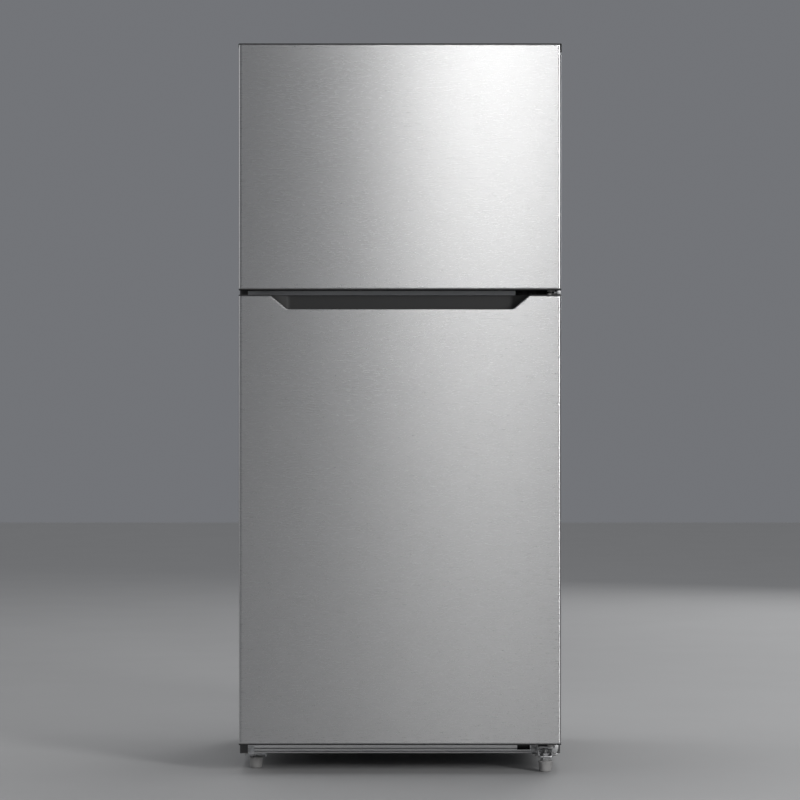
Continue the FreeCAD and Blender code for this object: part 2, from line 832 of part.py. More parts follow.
def make_rollers():
    """The two rear rollers, their axles and the forks they turn in."""
    forks, axles = [], []
    half = "(roller_wide / 2 + fork_clear)"
    for hand, sign in (("left", "-"), ("right", "")):
        x = f"{sign}(roller_x)"
        bore = "axle_radius + pin_clear"
        wheel = turned(
            f"roller_{hand}",
            [
                (bore, "-roller_wide / 2"),
                ("roller_radius - 1.5", "-roller_wide / 2"),
                ("roller_radius", "-roller_wide / 2 + 1.5"),
                ("roller_radius", "roller_wide / 2 - 1.5"),
                ("roller_radius - 1.5", "roller_wide / 2"),
                (bore, "roller_wide / 2"),
            ],
            (x, "roller_y", "roller_radius"),
            "x",
        )
        node(f"rear_roller_{hand}", wheel)
        y = ("roller_y - 13", "roller_y + 13")
        cheeks = [
            block(f"cheek_{hand}_in", (f"{x} - {half} - fork_wall", f"{x} - {half}"), y,
                  ("8", "leg_height")),
            block(f"cheek_{hand}_out", (f"{x} + {half}", f"{x} + {half} + fork_wall"), y,
                  ("8", "leg_height")),
        ]
        bridge = block(f"bridge_{hand}", (f"{x} - {half} - fork_wall", f"{x} + {half} + fork_wall"), y,
                       ("leg_height - 1.6", "leg_height"))
        start = f"{x} - {half} - fork_wall"
        long = f"2 * ({half} + fork_wall)"
        hole = rod(f"fork_hole_{hand}", "x", (f"{start} - 1", "roller_y", "roller_radius"), "axle_radius",
                   f"{long} + 2")
        forks.append(cut(f"fork_{hand}", fuse(f"fork_{hand}_solid", *cheeks, bridge), hole))
        axles.append(rod(f"axle_{hand}", "x", (start, "roller_y", "roller_radius"), "axle_radius", long))
    node("roller_forks", group("forks", *forks))
    node("roller_axles", group("axles", *axles))


# ------------------------------------------------------------------------------ machine compartment
def fan_body(label, at, along):
    """A five blade fan on a hub with a bore, turning about its own axis."""
    bore = "dial_shaft + pin_clear"
    body = turned(
        label,
        [(bore, "0"), ("fan_hub", "0"), ("fan_hub", "fan_high"), (bore, "fan_high")],
        at,
        along,
    )
    sketch = outline(
        body,
        "x",
        [("-12", "3"), ("-10.5", "2"), ("12", "fan_high - 3"), ("10.5", "fan_high - 2")],
        "fan_hub - 3",
    )
    blade = body.newObject("PartDesign::Pad", label + "_blade")
    blade.Profile = sketch
    blade.setExpression("Length", cells("fan_radius - (fan_hub - 3)"))
    ring = body.newObject("PartDesign::PolarPattern", label + "_blades")
    ring.Originals = [blade]
    ring.Axis = (next(f for f in body.Origin.OriginFeatures if f.Role == "Z_Axis"), [""])
    ring.Angle = 360
    ring.Occurrences = 5
    body.Tip = ring
    return body


def coil(label, runs, x, y, z, fins, *stands):
    """A finned coil: level tubes along X, joined in turn by half rings, through upright plates."""
    reach = f"({x[1]}) - ({x[0]})"
    step = f"(({z[1]}) - ({z[0]})) / {runs}"
    middle = f"(({y[0]}) + ({y[1]})) / 2"
    pieces = []
    for i in range(runs):
        height = f"({z[0]}) + ({i} + 0.5) * {step}"
        pieces.append(rod(f"{label}_run_{i}", "x", (x[0], middle, height), "tube_radius", reach))
    for i in range(runs - 1):
        ring = doc.addObject("Part::Torus", f"{label}_bend_{i}")
        ring.setExpression("Radius1", cells(f"{step} / 2"))
        ring.setExpression("Radius2", cells("tube_radius"))
        ring.Angle3 = 180
        right = i % 2 == 0
        spin = FreeCAD.Rotation(Vector(1, 0, 0), 90) * FreeCAD.Rotation(Vector(0, 0, 1),
                                                                        -90 if right else 90)
        ring.Placement = FreeCAD.Placement(Vector(), spin)
        at = (x[1] if right else x[0], middle, f"({z[0]}) + ({i} + 1) * {step}")
        for axis, place in zip("xyz", at):
            ring.setExpression(f"Placement.Base.{axis}", cells(place))
        pieces.append(ring)
    for i in range(fins):
        place = f"({x[0]}) + 8 + ({reach} - 16) * {i} / {fins - 1}"
        pieces.append(block(f"{label}_fin_{i}", (f"{place} - fin_sheet / 2", f"{place} + fin_sheet / 2"),
                            y, z))
    return fuse(label, *pieces, *stands)


def make_machine_room():
    """What stands in the compartment behind and under the fridge room."""
    x = "shell_offset"
    can = turned(
        "can",
        [
            ("0", "shell_low + 3"),
            ("shell_radius - 14", "shell_low + 3"),
            ("shell_radius", "shell_low + 24"),
            ("shell_radius", "shell_low + shell_high - 44"),
            ("shell_radius - 10", "shell_low + shell_high - 16"),
            ("shell_radius - 34", "shell_low + shell_high"),
            ("0", "shell_low + shell_high"),
        ],
        (x, "shell_y", "0"),
    )
    base = block("can_base", (f"{x} - 100", f"{x} + 100"), ("shell_y - 62", "shell_y + 62"),
                 ("shell_low", "shell_low + 4"))
    relay = block("can_relay", (f"{x} + shell_radius - 12", f"{x} + shell_radius + 26"),
                  ("shell_y - 26", "shell_y + 26"), ("shell_low + 40", "shell_low + 96"))
    node("compressor", fuse("compressor_solid", can, base, relay))
    grommets = [
        rod(f"grommet_{i}_{j}", "z", (f"{x} + {i} * 84", f"shell_y + {j} * 46", "tray_top"),
            "grommet_radius",
            "grommet_high")
        for i in (-1, 1)
        for j in (-1, 1)
    ]
    node("compressor_grommets", group("grommets", *grommets))
    left = "-(side - sheet) + 34"
    coil_x = (left, "-150")
    coil_y = ("machine_front + 34", "shell_rear - 34")
    coil_z = ("leg_height + 58", "machine_top - 12")
    stands = [
        block(f"condenser_stand_{i}", (place, f"{place} + 2"), coil_y, ("tray_top + bin_wall", coil_z[1]))
        for i, place in enumerate((f"({left}) + 4", "-156"))
    ]
    node("condenser_coil", coil("condenser", 5, coil_x, coil_y, coil_z, 16, *stands))
    node("drain_pan", tray("pan", (f"{left} - 14", "-120"), ("machine_front + 16", "shell_rear - 16"),
                           ("tray_top", "leg_height + 40"), "bin_wall"))
    fan_z = "(leg_height + machine_top) / 2 + 14"
    node("condenser_fan", fan_body("cooling_fan", ("-90", "shell_y", fan_z), "x"))
    motor = rod("motor_can", "x", ("-90 + fan_high + 6", "shell_y", fan_z), "motor_radius", "motor_long")
    shaft = rod("motor_shaft", "x", ("-90 + 2", "shell_y", fan_z), "dial_shaft", "fan_high + 6")
    post = block("motor_post", ("-90 + fan_high + 12", "-90 + fan_high + 15"),
                 ("shell_y - 14", "shell_y + 14"),
                 ("tray_top", fan_z))
    foot = block("motor_foot", ("-90 + fan_high + 12", "-90 + fan_high + 42"),
                 ("shell_y - 14", "shell_y + 14"),
                 ("tray_top", "tray_top + 3"))
    node("condenser_fan_motor", fuse("cooling_motor", motor, shaft, post, foot))
    make_pipes(x)
    make_machine_cover()


def make_pipes(x):
    """The copper lines and the drier that join the compressor to the coils."""
    pipe, y = "pipe_radius", "shell_y - 20"
    rise = "shell_low + shell_high"
    top = "machine_top - 14"
    low = "leg_height + 90"
    lines = [
        rod("pipe_riser", "z", (f"{x} - 30", y, rise), pipe, f"{top} - ({rise})"),
        rod("pipe_level", "x", (f"{x} - 150", y, top), pipe, "120"),
        rod("pipe_drop", "z", (f"{x} - 150", y, low), pipe, f"{top} - ({low})"),
        rod("drier", "z", (f"{x} - 150", y, f"{low} - 30"), "9", "62"),
        rod("elbow_a", "z", (f"{x} - 30", y, f"{top} - 5"), "pipe_radius + 1.2", "10"),
        rod("elbow_b", "z", (f"{x} - 150", y, f"{top} - 5"), "pipe_radius + 1.2", "10"),
    ]
    node("refrigerant_lines", fuse("pipes", *lines))


def make_machine_cover():
    """The louvred cover over the machine compartment, and the gland for the supply lead."""
    plate = block("cover_plate", both("side - sheet - 1"), ("shell_rear", "shell_rear + 1.5"),
                  ("leg_height + 4", "machine_top + 14"))
    pan = block("cover_pan", both("side - 90"), ("shell_rear", "rear"),
                ("leg_height + 40", "machine_top - 20"))
    hollow = block("cover_hollow", both("side - 91.5"), ("shell_rear - 1", "rear - 1.5"),
                   ("leg_height + 41.5", "machine_top - 21.5"))
    slots = []
    for column in range(6):
        for line in range(9):
            left = f"-(side - 106) + {column} * (2 * (side - 106) / 6) + 5"
            low = f"leg_height + 54 + {line} * (machine_height - 86) / 8"
            slots.append(
                block(f"louvre_{column}_{line}", (left, f"{left} + (2 * (side - 106) / 6) - 10"),
                      ("rear - 3", "rear + 1"), (low, f"{low} + 6"))
            )
    gland_at = ("side - 60", "shell_rear - 1", "leg_height + 26")
    hole = rod("gland_hole", "y", gland_at, "9", "4")
    node("machine_cover", cut("machine_cover_whole", fuse("machine_cover_solid", plate, pan), hollow,
                              hole, *slots))
    gland = turned(
        "gland",
        [
            ("4", "-5"), ("12", "-5"), ("12", "0"), ("8.8", "0"), ("8.8", "1.5"), ("12", "1.5"),
            ("12", "4"),
            ("7.5", "7"), ("4", "7"),
        ],
        (gland_at[0], "shell_rear", gland_at[2]),
        "y",
    )
    node("cord_gland", gland)


# ----------------------------------------------------------------------------------- inside fittings
FRIDGE_SHELVES = [
    "cover_top + (control_low - cover_top) / 3 - 8",
    "cover_top + (control_low - cover_top) * 2 / 3 - 8",
]


def shelf(label, low, back):
    """A glass pane and the plastic rim that it lies in, standing on a pair of ledges."""
    x = both("shelf_side")
    y = ("shelf_front", back)
    top = f"{low} + shelf_high"
    seat = f"{low} + shelf_high - glass_thick - 1"
    rim = block(label + "_rim", x, y, (low, top))
    inner_y = ("shelf_front + shelf_rim", f"{back} - shelf_rim")
    well = block(label + "_well", both("shelf_side - shelf_rim"), inner_y, (f"{low} - 1", f"{top} + 1"))
    rebate_y = ("shelf_front + shelf_rim / 2", f"{back} - shelf_rim / 2")
    rebate = block(label + "_rebate", both("shelf_side - shelf_rim / 2"), rebate_y, (seat, f"{top} + 1"))
    pane = block(
        label + "_pane",
        both("shelf_side - shelf_rim / 2 - 0.2"),
        ("shelf_front + shelf_rim / 2 + 0.2", f"{back} - shelf_rim / 2 - 0.2"),
        (seat, f"{seat} + glass_thick"),
    )
    return cut(label, rim, well, rebate), pane


def make_shelves():
    """Two fridge shelves, the freezer shelf and the cover over the crispers, each with its pane."""
    frames, panes = [], []
    for i, low in enumerate(FRIDGE_SHELVES):
        rim, pane = shelf(f"fridge_shelf_{i}", low, "shelf_back")
        frames.append(rim)
        panes.append(pane)
    rim, pane = shelf("freezer_shelf_rim", "freezer_shelf", "coil_face - 10")
    frames.append(rim)
    panes.append(pane)
    rim, pane = shelf("crisper_roof", "cover_low", "shelf_back")
    panes.append(pane)
    node("shelf_frames", group("frames", *frames))
    node("shelf_glass", group("panes", *panes))
    runner = block("crisper_runner", both("crisper_clear / 2"),
                   ("shelf_front + 2", "hump_front - crisper_rear"),
                   ("crisper_top + 3", "cover_low"))
    lip = block("crisper_runner_top", both("10"), ("shelf_front + 2", "shelf_front + 22"),
                ("crisper_top + 4", "cover_low + 2"))
    node("crisper_cover", fuse("crisper_cover_whole", rim, runner, lip))


def make_crispers():
    """Two clear drawers that stand on the floor of the fridge room in front of the hump."""
    front = "cabinet_face + crisper_set"
    low = "fridge_floor + crisper_lift"
    for hand, x in (("left", ("-(room_side - crisper_clear)", "-crisper_clear")),
                    ("right", ("crisper_clear", "room_side - crisper_clear"))):
        body = tray(f"crisper_{hand}_box", x, (front, "hump_front - crisper_rear"), (low, "crisper_top"),
                    "crisper_wall")
        face = block(f"crisper_{hand}_face", x, (f"{front} - 3", front), (low, "crisper_top"))
        middle = f"(({x[0]}) + ({x[1]})) / 2"
        grip = block(f"crisper_{hand}_grip", (f"{middle} - 90", f"{middle} + 90"),
                     (f"{front} - crisper_grip", front), ("crisper_top - 26", "crisper_top"))
        scoop = block(f"crisper_{hand}_scoop", (f"{middle} - 86", f"{middle} + 86"),
                      (f"{front} - crisper_grip + 3", f"{front} - 3"),
                      ("crisper_top - 27", "crisper_top - 4"))
        node(f"crisper_drawer_{hand}", cut(f"crisper_{hand}", fuse(f"crisper_{hand}_solid", body, face,
                                                                   grip), scoop))


def dial(label, at, along="y"):
    """A round knob with a flat grip across it and a shaft behind."""
    body = turned(
        label,
        [
            ("0", "0"),
            ("dial_radius - 2", "0"),
            ("dial_radius", "2"),
            ("dial_radius", "dial_high - 2"),
            ("dial_radius", "dial_high"),
            ("dial_shaft", "dial_high"),
            ("dial_shaft", "dial_high + 12"),
            ("0", "dial_high + 12"),
        ],
        at,
        along,
    )
    sketch = outline(body, "z", [("-3", "-(dial_radius - 3)"), ("3", "-(dial_radius - 3)"),
                                 ("3", "dial_radius - 3"), ("-3", "dial_radius - 3")], "-5")
    grip = body.newObject("PartDesign::Pad", label + "_grip")
    grip.Profile = sketch
    grip.Length = 6
    return body


def make_controls():
    """The control housing under the fridge room's roof, its dial and its lamp lens."""
    x = both("control_wide / 2")
    face = "cabinet_face + control_set"
    y = (face, f"{face} + control_deep")
    z = ("control_low", "fridge_roof")
    outer = block("housing_outer", x, y, z)
    inner = block("housing_inner", both("control_wide / 2 - 2.5"),
                  (f"{face} + 2.5", f"{face} + control_deep - 2.5"),
                  ("control_low + 2.5", "fridge_roof + 1"))
    dial_x = "-control_wide / 4"
    dial_z = "control_low + control_high / 2"
    hole = rod("housing_hole", "y", (dial_x, f"{face} - 1", dial_z), "dial_shaft + 0.3", "5")
    window = block("housing_window", ("10", "control_wide / 2 - 20"), (f"{face} + 25", f"{face} + 95"),
                   ("control_low - 1", "control_low + 3"))
    node("control_box", cut("housing", outer, inner, hole, window))
    node("light_lens", block("lens", ("10", "control_wide / 2 - 20"), (f"{face} + 25", f"{face} + 95"),
                             ("control_low - lens_high", "control_low + 2.4")))
    node("temperature_dial", dial("fridge_dial", (dial_x, f"{face} - dial_high - 0.4", dial_z)))


def make_ducts():
    """The air duct down the back of the fridge room and the cover over the freezer's coil."""
    outer = block("duct_outer", both("duct_wide / 2"), ("room_back - duct_deep", "room_back"),
                  ("cover_top + 6", "fridge_roof"))
    inner = block("duct_inner", both("duct_wide / 2 - 2"), ("room_back - duct_deep + 2", "room_back + 1"),
                  ("cover_top + 8", "fridge_roof - 2"))
    vents = []
    for i in range(4):
        for hand, x in (("left", ("-duct_wide / 2 + 14", "-8")), ("right", ("8", "duct_wide / 2 - 14"))):
            low = f"cover_top + 60 + {i} * (fridge_roof - cover_top - 140) / 3.4"
            vents.append(block(f"vent_{i}_{hand}", x, ("room_back - duct_deep - 1",
                                                       "room_back - duct_deep + 3"),
                               (low, f"{low} + 12")))
    node("fridge_air_duct", cut("duct", outer, inner, *vents))
    face = ("coil_face", "coil_face + cover_sheet")
    plate = block("coil_plate", both("room_side"), face, ("freezer_floor", "freezer_roof"))
    through = ("coil_face - 1", "coil_face + cover_sheet + 1")
    vents = []
    for i in range(6):
        low = f"freezer_roof - 190 + {i} * 18"
        vents.append(block(f"coil_vent_{i}", both("48"), through, (low, f"{low} + 7")))
    for i in range(12):
        left = f"-(room_side - 40) + {i} * (2 * (room_side - 40) - 30) / 11"
        vents.append(block(f"coil_return_{i}", (left, f"{left} + 30"), through,
                           ("freezer_floor + 14", "freezer_floor + 26")))
    dial_at = ("room_side - 90", "coil_face - dial_high - 0.4", "freezer_roof - 70")
    vents.append(rod("coil_dial_hole", "y", (dial_at[0], "coil_face - 1", dial_at[2]),
                     "dial_shaft + 0.3", "6"))
    node("freezer_back_cover", cut("coil_cover", plate, *vents))
    node("freezer_dial", dial("air_dial", dial_at))
    node("evaporator_coil", coil("evaporator", 4, both("room_side - 90"), ("coil_face + 14", "room_back"),
                                 ("freezer_floor + 34", "freezer_floor + 214"), 26))
    fan_z = "freezer_roof - 142"
    node("evaporator_fan", fan_body("cold_fan", ("0", "coil_face + cover_sheet + 10", fan_z), "y"))
    motor = rod("cold_motor_can", "y", ("0", "coil_face + cover_sheet + 10 + fan_high + 5", fan_z),
                "motor_radius",
                "motor_long")
    shaft = rod("cold_motor_shaft", "y", ("0", "coil_face + cover_sheet + 12", fan_z), "dial_shaft",
                "fan_high + 5")
    strap = block("cold_strap", both("80"), ("room_back - 12", "room_back - 9"),
                  (f"{fan_z} - 10", f"{fan_z} + 10"))
    legs = [
        block(f"cold_leg_{i}", x, ("room_back - 12", "room_back"), (f"{fan_z} - 10", f"{fan_z} + 10"))
        for i, x in enumerate((("-80", "-77"), ("77", "80")))
    ]
    neck = rod("cold_neck", "y", ("0", "room_back - 30", fan_z), "12", "20")
    node("evaporator_fan_motor", fuse("cold_motor", motor, shaft, strap, neck, *legs))


# --------------------------------------------------------------------------------------------- doors
def door_section(label, inset, proud, low, high, back="door_back"):
    """A door's level section, with its two front corners rounded, between two heights."""
    half = f"door_side - {inset} + {proud}"
    made = prism(
        label,
        "z",
        [(f"-({half})", f"front + {inset}"), (half, f"front + {inset}"), (half, back),
         (f"-({half})", back)],
        low,
        high,
    )
    face = number(f"front + {inset}")
    return rounded(
        made,
        f"door_corner - {inset}",
        lambda middle, along: upright(along) and abs(middle.y - face) < 0.01,
    )


def pocket_cutter(label, y):
    """The slope sided notch of the finger pocket, between two places on Y."""
    top = "fridge_top + 1"
    floor = "fridge_top - pocket_drop"
    half = "door_side - pocket_margin"
    return prism(
        label,
        "y",
        [
            (f"-({half} - pocket_slope)", floor),
            (f"{half} - pocket_slope", floor),
            (f"{half}", top),
            (f"-({half})", top),
        ],
        *y,
    )


def bush(label, end, way, gap):
    """A nylon bush in a door's end cap, with a flange that fills the gap to the hinge."""
    flange = f"{gap} - bush_gap"
    profile = [
        ("pin_radius + pin_clear", f"-({flange})"),
        ("bush_flange", f"-({flange})"),
        ("bush_flange", "0"),
        ("bush_radius", "0"),
        ("bush_radius", "cap_thick"),
        ("pin_radius + pin_clear", "cap_thick"),
    ]
    if way < 0:
        profile = [(radius, f"-({height})") for radius, height in reversed(profile)]
    return turned(label, profile, ("hinge_x", "hinge_y", end))


def make_door(name, low, high, low_gap, high_gap):
    """One door: skin, foam, end caps, inner panel, gasket, bushes and bins."""
    crown = "freezer_top" if name == "freezer" else high
    skin_low, skin_high = f"{low} + cap_lip", f"{crown} - cap_lip"
    outer = door_section(f"{name}_skin_outer", "0", "0", skin_low, skin_high, "door_back - panel_sheet")
    inner = door_section(f"{name}_skin_inner", "sheet", "0", f"{skin_low} - 1", f"{skin_high} + 1",
                         "door_back + 1")
    caps = {}
    for end, lip, plate in (("bottom", (low, f"{low} + cap_lip"), (low, f"{low} + cap_thick")),
                            ("top", (f"{high} - cap_lip", high), (f"{high} - cap_thick", high))):
        rim = door_section(f"{name}_{end}_rim", "0", "cap_proud", *lip)
        plug = door_section(f"{name}_{end}_plug", "sheet", "0", *plate)
        caps[end] = [rim, plug]
    seats = {
        "bottom": rod(f"{name}_low_seat", "z", ("hinge_x", "hinge_y", f"{low} - 1"), "bush_radius",
                      "cap_thick + 2"),
        "top": rod(f"{name}_high_seat", "z", ("hinge_x", "hinge_y", f"{high} - cap_thick - 1"),
                   "bush_radius",
                   "cap_thick + 2"),
    }
    foam = door_section(f"{name}_foam_solid", "sheet", "0", f"{low} + cap_thick", f"{high} - cap_thick",
                        "door_back - panel_sheet")
    pins = [
        rod(f"{name}_pin_room_{i}", "z", ("hinge_x", "hinge_y", start), "bush_radius",
            "pin_reach - cap_thick + 3")
        for i, start in enumerate((f"{low} + cap_thick - 1", f"{high} - pin_reach - 2"))
    ]
    if name == "fridge":
        half = "door_side - pocket_margin"
        shell = block("pocket_shell", both(f"{half} + pocket_wall"),
                      ("front + sheet", "front + pocket_deep + pocket_wall"),
                      ("fridge_top - pocket_drop - pocket_hook - pocket_wall", "fridge_top"))
        hook = block("pocket_hook_room", both(f"{half} - pocket_slope"),
                     ("front + pocket_front", "front + pocket_deep"),
                     ("fridge_top - pocket_drop - pocket_hook", "fridge_top - pocket_drop + 1"))
        caps["top"] = [cut("fridge_top_solid", fuse("fridge_top_parts", *caps["top"], shell),
                           pocket_cutter("pocket_room", ("front - 1", "front + pocket_deep")), hook)]
        outer = cut("fridge_skin_notched", outer, pocket_cutter("skin_notch",
                                                                ("front - 1", "front + sheet + 1")))
        foam = cut("fridge_foam_notched", foam, block(
            "foam_pocket", both(f"{half} + pocket_wall"), ("front", "front + pocket_deep + pocket_wall"),
            ("fridge_top - pocket_drop - pocket_hook - pocket_wall", "fridge_top")))
    else:
        half = "door_side - pocket_margin - pocket_slope"
        lump = block("grip_lump", both(f"{half} + 4"), ("front + sheet", "front + grip_deep + 4"),
                     ("freezer_low + cap_lip", "freezer_low + grip_rise + 4"))
        groove = block("grip_groove", both(half), ("front + grip_front", "front + grip_deep"),
                       ("freezer_low - 1", "freezer_low + grip_rise"))
        caps["bottom"] = [cut("freezer_bottom_solid", fuse("freezer_bottom_parts", *caps["bottom"],
                                                           lump), groove)]
        behind = block("crown_behind", both("side + 1"), ("front + cap_front", "cabinet_face"),
                       (f"{high}", f"{crown} + 1"))
        brow = [
            door_section("crown_rim", "0", "cap_proud", f"{crown} - cap_lip", crown),
            door_section("crown_plug", "sheet", "0", f"{high} - 1", crown),
        ]
        tab = block("crown_tab", ("door_side", "side"), ("front + 2", "front + cap_front"),
                    (f"{crown} - cap_tab", crown))
        caps["top"] = [cut("crown_front", fuse("crown_solid", *brow), behind),
                       cut("crown_ledge", fuse("crown_ledge_solid", *caps["top"]), block(
                           "crown_before", both("side + 1"), ("front - 1", "front + cap_front"),
                           (f"{high} - cap_lip", f"{high} + 1"))),
                       block("crown_filler", both("door_side - door_corner"),
                             ("front + sheet", "front + cap_front + 1"),
                             (f"{high} - cap_lip - 1", high)), tab]
        outer = cut("freezer_skin_stepped", outer, block(
            "skin_step", both("side + 1"), ("front + cap_front", "cabinet_face"),
            (f"{high} - cap_lip", f"{crown} + 1")))
        foam = cut("freezer_foam_notched", foam, block(
            "foam_grip", both(f"{half} + 4"), ("front", "front + grip_deep + 4"),
            ("freezer_low", "freezer_low + grip_rise + 4")))
    node(f"{name}_door_skin", cut(f"{name}_skin", outer, inner))
    for end in ("bottom", "top"):
        solid = caps[end][0] if len(caps[end]) == 1 else fuse(f"{name}_{end}_solid", *caps[end])
        node(f"{name}_door_{end}_cap", cut(f"{name}_{end}_cap", solid, seats[end]))
    node(f"{name}_door_foam", cut(f"{name}_foam", foam, *pins))
    node(f"{name}_door_bushes", group(f"{name}_bushes", bush(f"{name}_low_bush", low, 1, low_gap),
                                      bush(f"{name}_high_bush", high, -1, high_gap)))
    make_door_inside(name, low, high)


def make_door_inside(name, low, high):
    """A door's inner panel with its raised dyke, the magnetic gasket and the bins."""
    plate = block(f"{name}_plate", both("door_side - sheet"), ("door_back - panel_sheet", "door_back"),
                  (f"{low} + cap_thick", f"{high} - cap_thick"))
    dyke_x = "dyke_side"
    z = (f"{name}_floor + dyke_clear", f"{name}_roof - dyke_clear")
    inner_z = (f"{z[0]} + dyke_wall", f"{z[1]} - dyke_wall")
    dyke = frame(f"{name}_dyke", both(dyke_x), z, both(f"{dyke_x} - dyke_wall"), inner_z,
                 ("door_back", "dyke_back"))
    node(f"{name}_door_liner", fuse(f"{name}_liner", plate, dyke))
    gasket_x = "door_side - gasket_inset"
    ring_z = (f"{low} + gasket_end", f"{high} - gasket_end")
    node(f"{name}_door_gasket", frame(
        f"{name}_gasket", both(gasket_x), ring_z, both(f"{gasket_x} - gasket_wide"),
        (f"{ring_z[0]} + gasket_wide", f"{ring_z[1]} - gasket_wide"),
        ("door_back", "cabinet_face - gasket_clear")))
    bin_x = f"{dyke_x} - dyke_wall - bin_side_clear"
    bins = []
    for i, (share, tall) in enumerate(BINS[name]):
        start = f"({inner_z[0]}) + 4 + {share} * (({inner_z[1]}) - ({inner_z[0]}))"
        box = tray(f"{name}_bin_{i}_box", both(bin_x), ("door_back", "bin_back"),
                   (start, f"{start} + {tall}"),
                   "bin_wall")
        lugs = [
            block(f"{name}_lug_{i}_{j}", x, ("door_back + 14", "door_back + 34"),
                  (f"{start} + 20", f"{start} + 50"))
            for j, x in enumerate(((f"-({bin_x}) - bin_side_clear", f"-({bin_x}) + 1"),
                                   (f"{bin_x} - 1", f"{bin_x} + bin_side_clear")))
        ]
        bins.append(fuse(f"{name}_bin_{i}", box, *lugs))
    node(f"{name}_door_bins", group(f"{name}_bins", *bins))


BINS = {"fridge": [(0, 120), (0.4, 85), (0.7, 85)], "freezer": [(0, 90), (0.48, 90)]}

make_wrapper()
make_back_panel()
make_deck()
make_tray()
make_liners()
make_foam()
make_rails()
make_top_hinge()
make_middle_hinge()
make_bottom_hinge()
make_hinge_screws()
make_feet()
make_rollers()
make_machine_room()
make_shelves()
make_crispers()
make_controls()
make_ducts()
make_door("fridge", "fridge_low", "fridge_top", "(fridge_low - (sole_high))",
          "(door_split - arm_plate) / 2")
make_door("freezer", "freezer_low", "door_ledge", "(door_split - arm_plate) / 2", "hinge_clear")

# ------------------------------------------------------------------------------ check, then write
doc.recompute()
for made in doc.Objects:
    if "Invalid" in made.State or "Error" in made.State:
        raise RuntimeError(f"{made.Label} failed: {made.State}")
for made in nodes:
    if made.Shape.isNull() or not made.Shape.isValid() or not made.Shape.Solids:
        raise RuntimeError(f"{made.Label} has no valid solid")
os.makedirs("parts", exist_ok=True)
for made in nodes:
    made.Shape.exportStep(f"parts/{made.Label}.step")
print(f"{len(nodes)} sub-parts, {sum(len(made.Shape.Solids) for made in nodes)} solids")
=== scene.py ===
"""Top freezer refrigerator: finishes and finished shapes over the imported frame."""

import json
import math

import bmesh
import bpy
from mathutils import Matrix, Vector

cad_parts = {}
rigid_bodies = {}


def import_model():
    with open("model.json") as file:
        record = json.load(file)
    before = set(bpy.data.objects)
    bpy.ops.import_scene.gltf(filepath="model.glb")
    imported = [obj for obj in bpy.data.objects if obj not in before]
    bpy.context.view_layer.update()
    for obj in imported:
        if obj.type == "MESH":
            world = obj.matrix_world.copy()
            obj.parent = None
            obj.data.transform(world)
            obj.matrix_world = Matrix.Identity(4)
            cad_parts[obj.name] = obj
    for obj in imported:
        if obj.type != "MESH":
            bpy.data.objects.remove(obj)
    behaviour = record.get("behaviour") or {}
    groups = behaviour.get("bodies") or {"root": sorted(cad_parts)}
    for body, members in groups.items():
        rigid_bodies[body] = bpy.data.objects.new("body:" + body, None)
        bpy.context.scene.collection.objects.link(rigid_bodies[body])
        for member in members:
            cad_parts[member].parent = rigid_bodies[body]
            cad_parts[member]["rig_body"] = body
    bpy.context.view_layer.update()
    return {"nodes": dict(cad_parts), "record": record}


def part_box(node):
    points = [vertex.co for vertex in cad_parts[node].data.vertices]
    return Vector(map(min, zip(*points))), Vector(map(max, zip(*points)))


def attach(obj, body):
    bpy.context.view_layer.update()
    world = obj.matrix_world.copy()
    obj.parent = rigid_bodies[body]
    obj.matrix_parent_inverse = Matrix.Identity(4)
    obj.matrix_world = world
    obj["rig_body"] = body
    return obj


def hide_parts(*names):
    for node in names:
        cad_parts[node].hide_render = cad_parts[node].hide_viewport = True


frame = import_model()


# ------------------------------------------------------------------------------------------ graphs
class Wire:
    """One output of a node, which can stand in a sum."""

    def __init__(self, graph, socket):
        self.graph = graph
        self.socket = socket

    def sum(self, operation, first, second):
        return self.graph.node("ShaderNodeMath", {"operation": operation}, {0: first, 1: second})

    def __add__(self, other):
        return self.sum("ADD", self, other)

    def __sub__(self, other):
        return self.sum("SUBTRACT", self, other)

    def __rsub__(self, other):
        return self.sum("SUBTRACT", other, self)

    def __mul__(self, other):
        return self.sum("MULTIPLY", self, other)

    def __pow__(self, other):
        return self.sum("POWER", self, other)

    __radd__ = __add__
    __rmul__ = __mul__


class Graph:
    """A node tree that is filled through one method."""

    def __init__(self, tree):
        self.tree = tree

    def node(self, kind, settings=None, values=None, out=0):
        """A node of a kind: its settings first, then values or wires for its inputs."""
        made = self.tree.nodes.new(kind)
        for key, value in (settings or {}).items():
            if key == "stops":
                ramp = made.color_ramp
                while len(ramp.elements) < len(value):
                    ramp.elements.new(0.5)
                for stop, (place, level) in zip(ramp.elements, value):
                    stop.position = place
                    stop.color = (level, level, level, 1)
            else:
                setattr(made, key, value)
        for key, value in (values or {}).items():
            if isinstance(value, Wire):
                self.tree.links.new(value.socket, made.inputs[key])
            else:
                made.inputs[key].default_value = value
        return Wire(self, made.outputs[out])


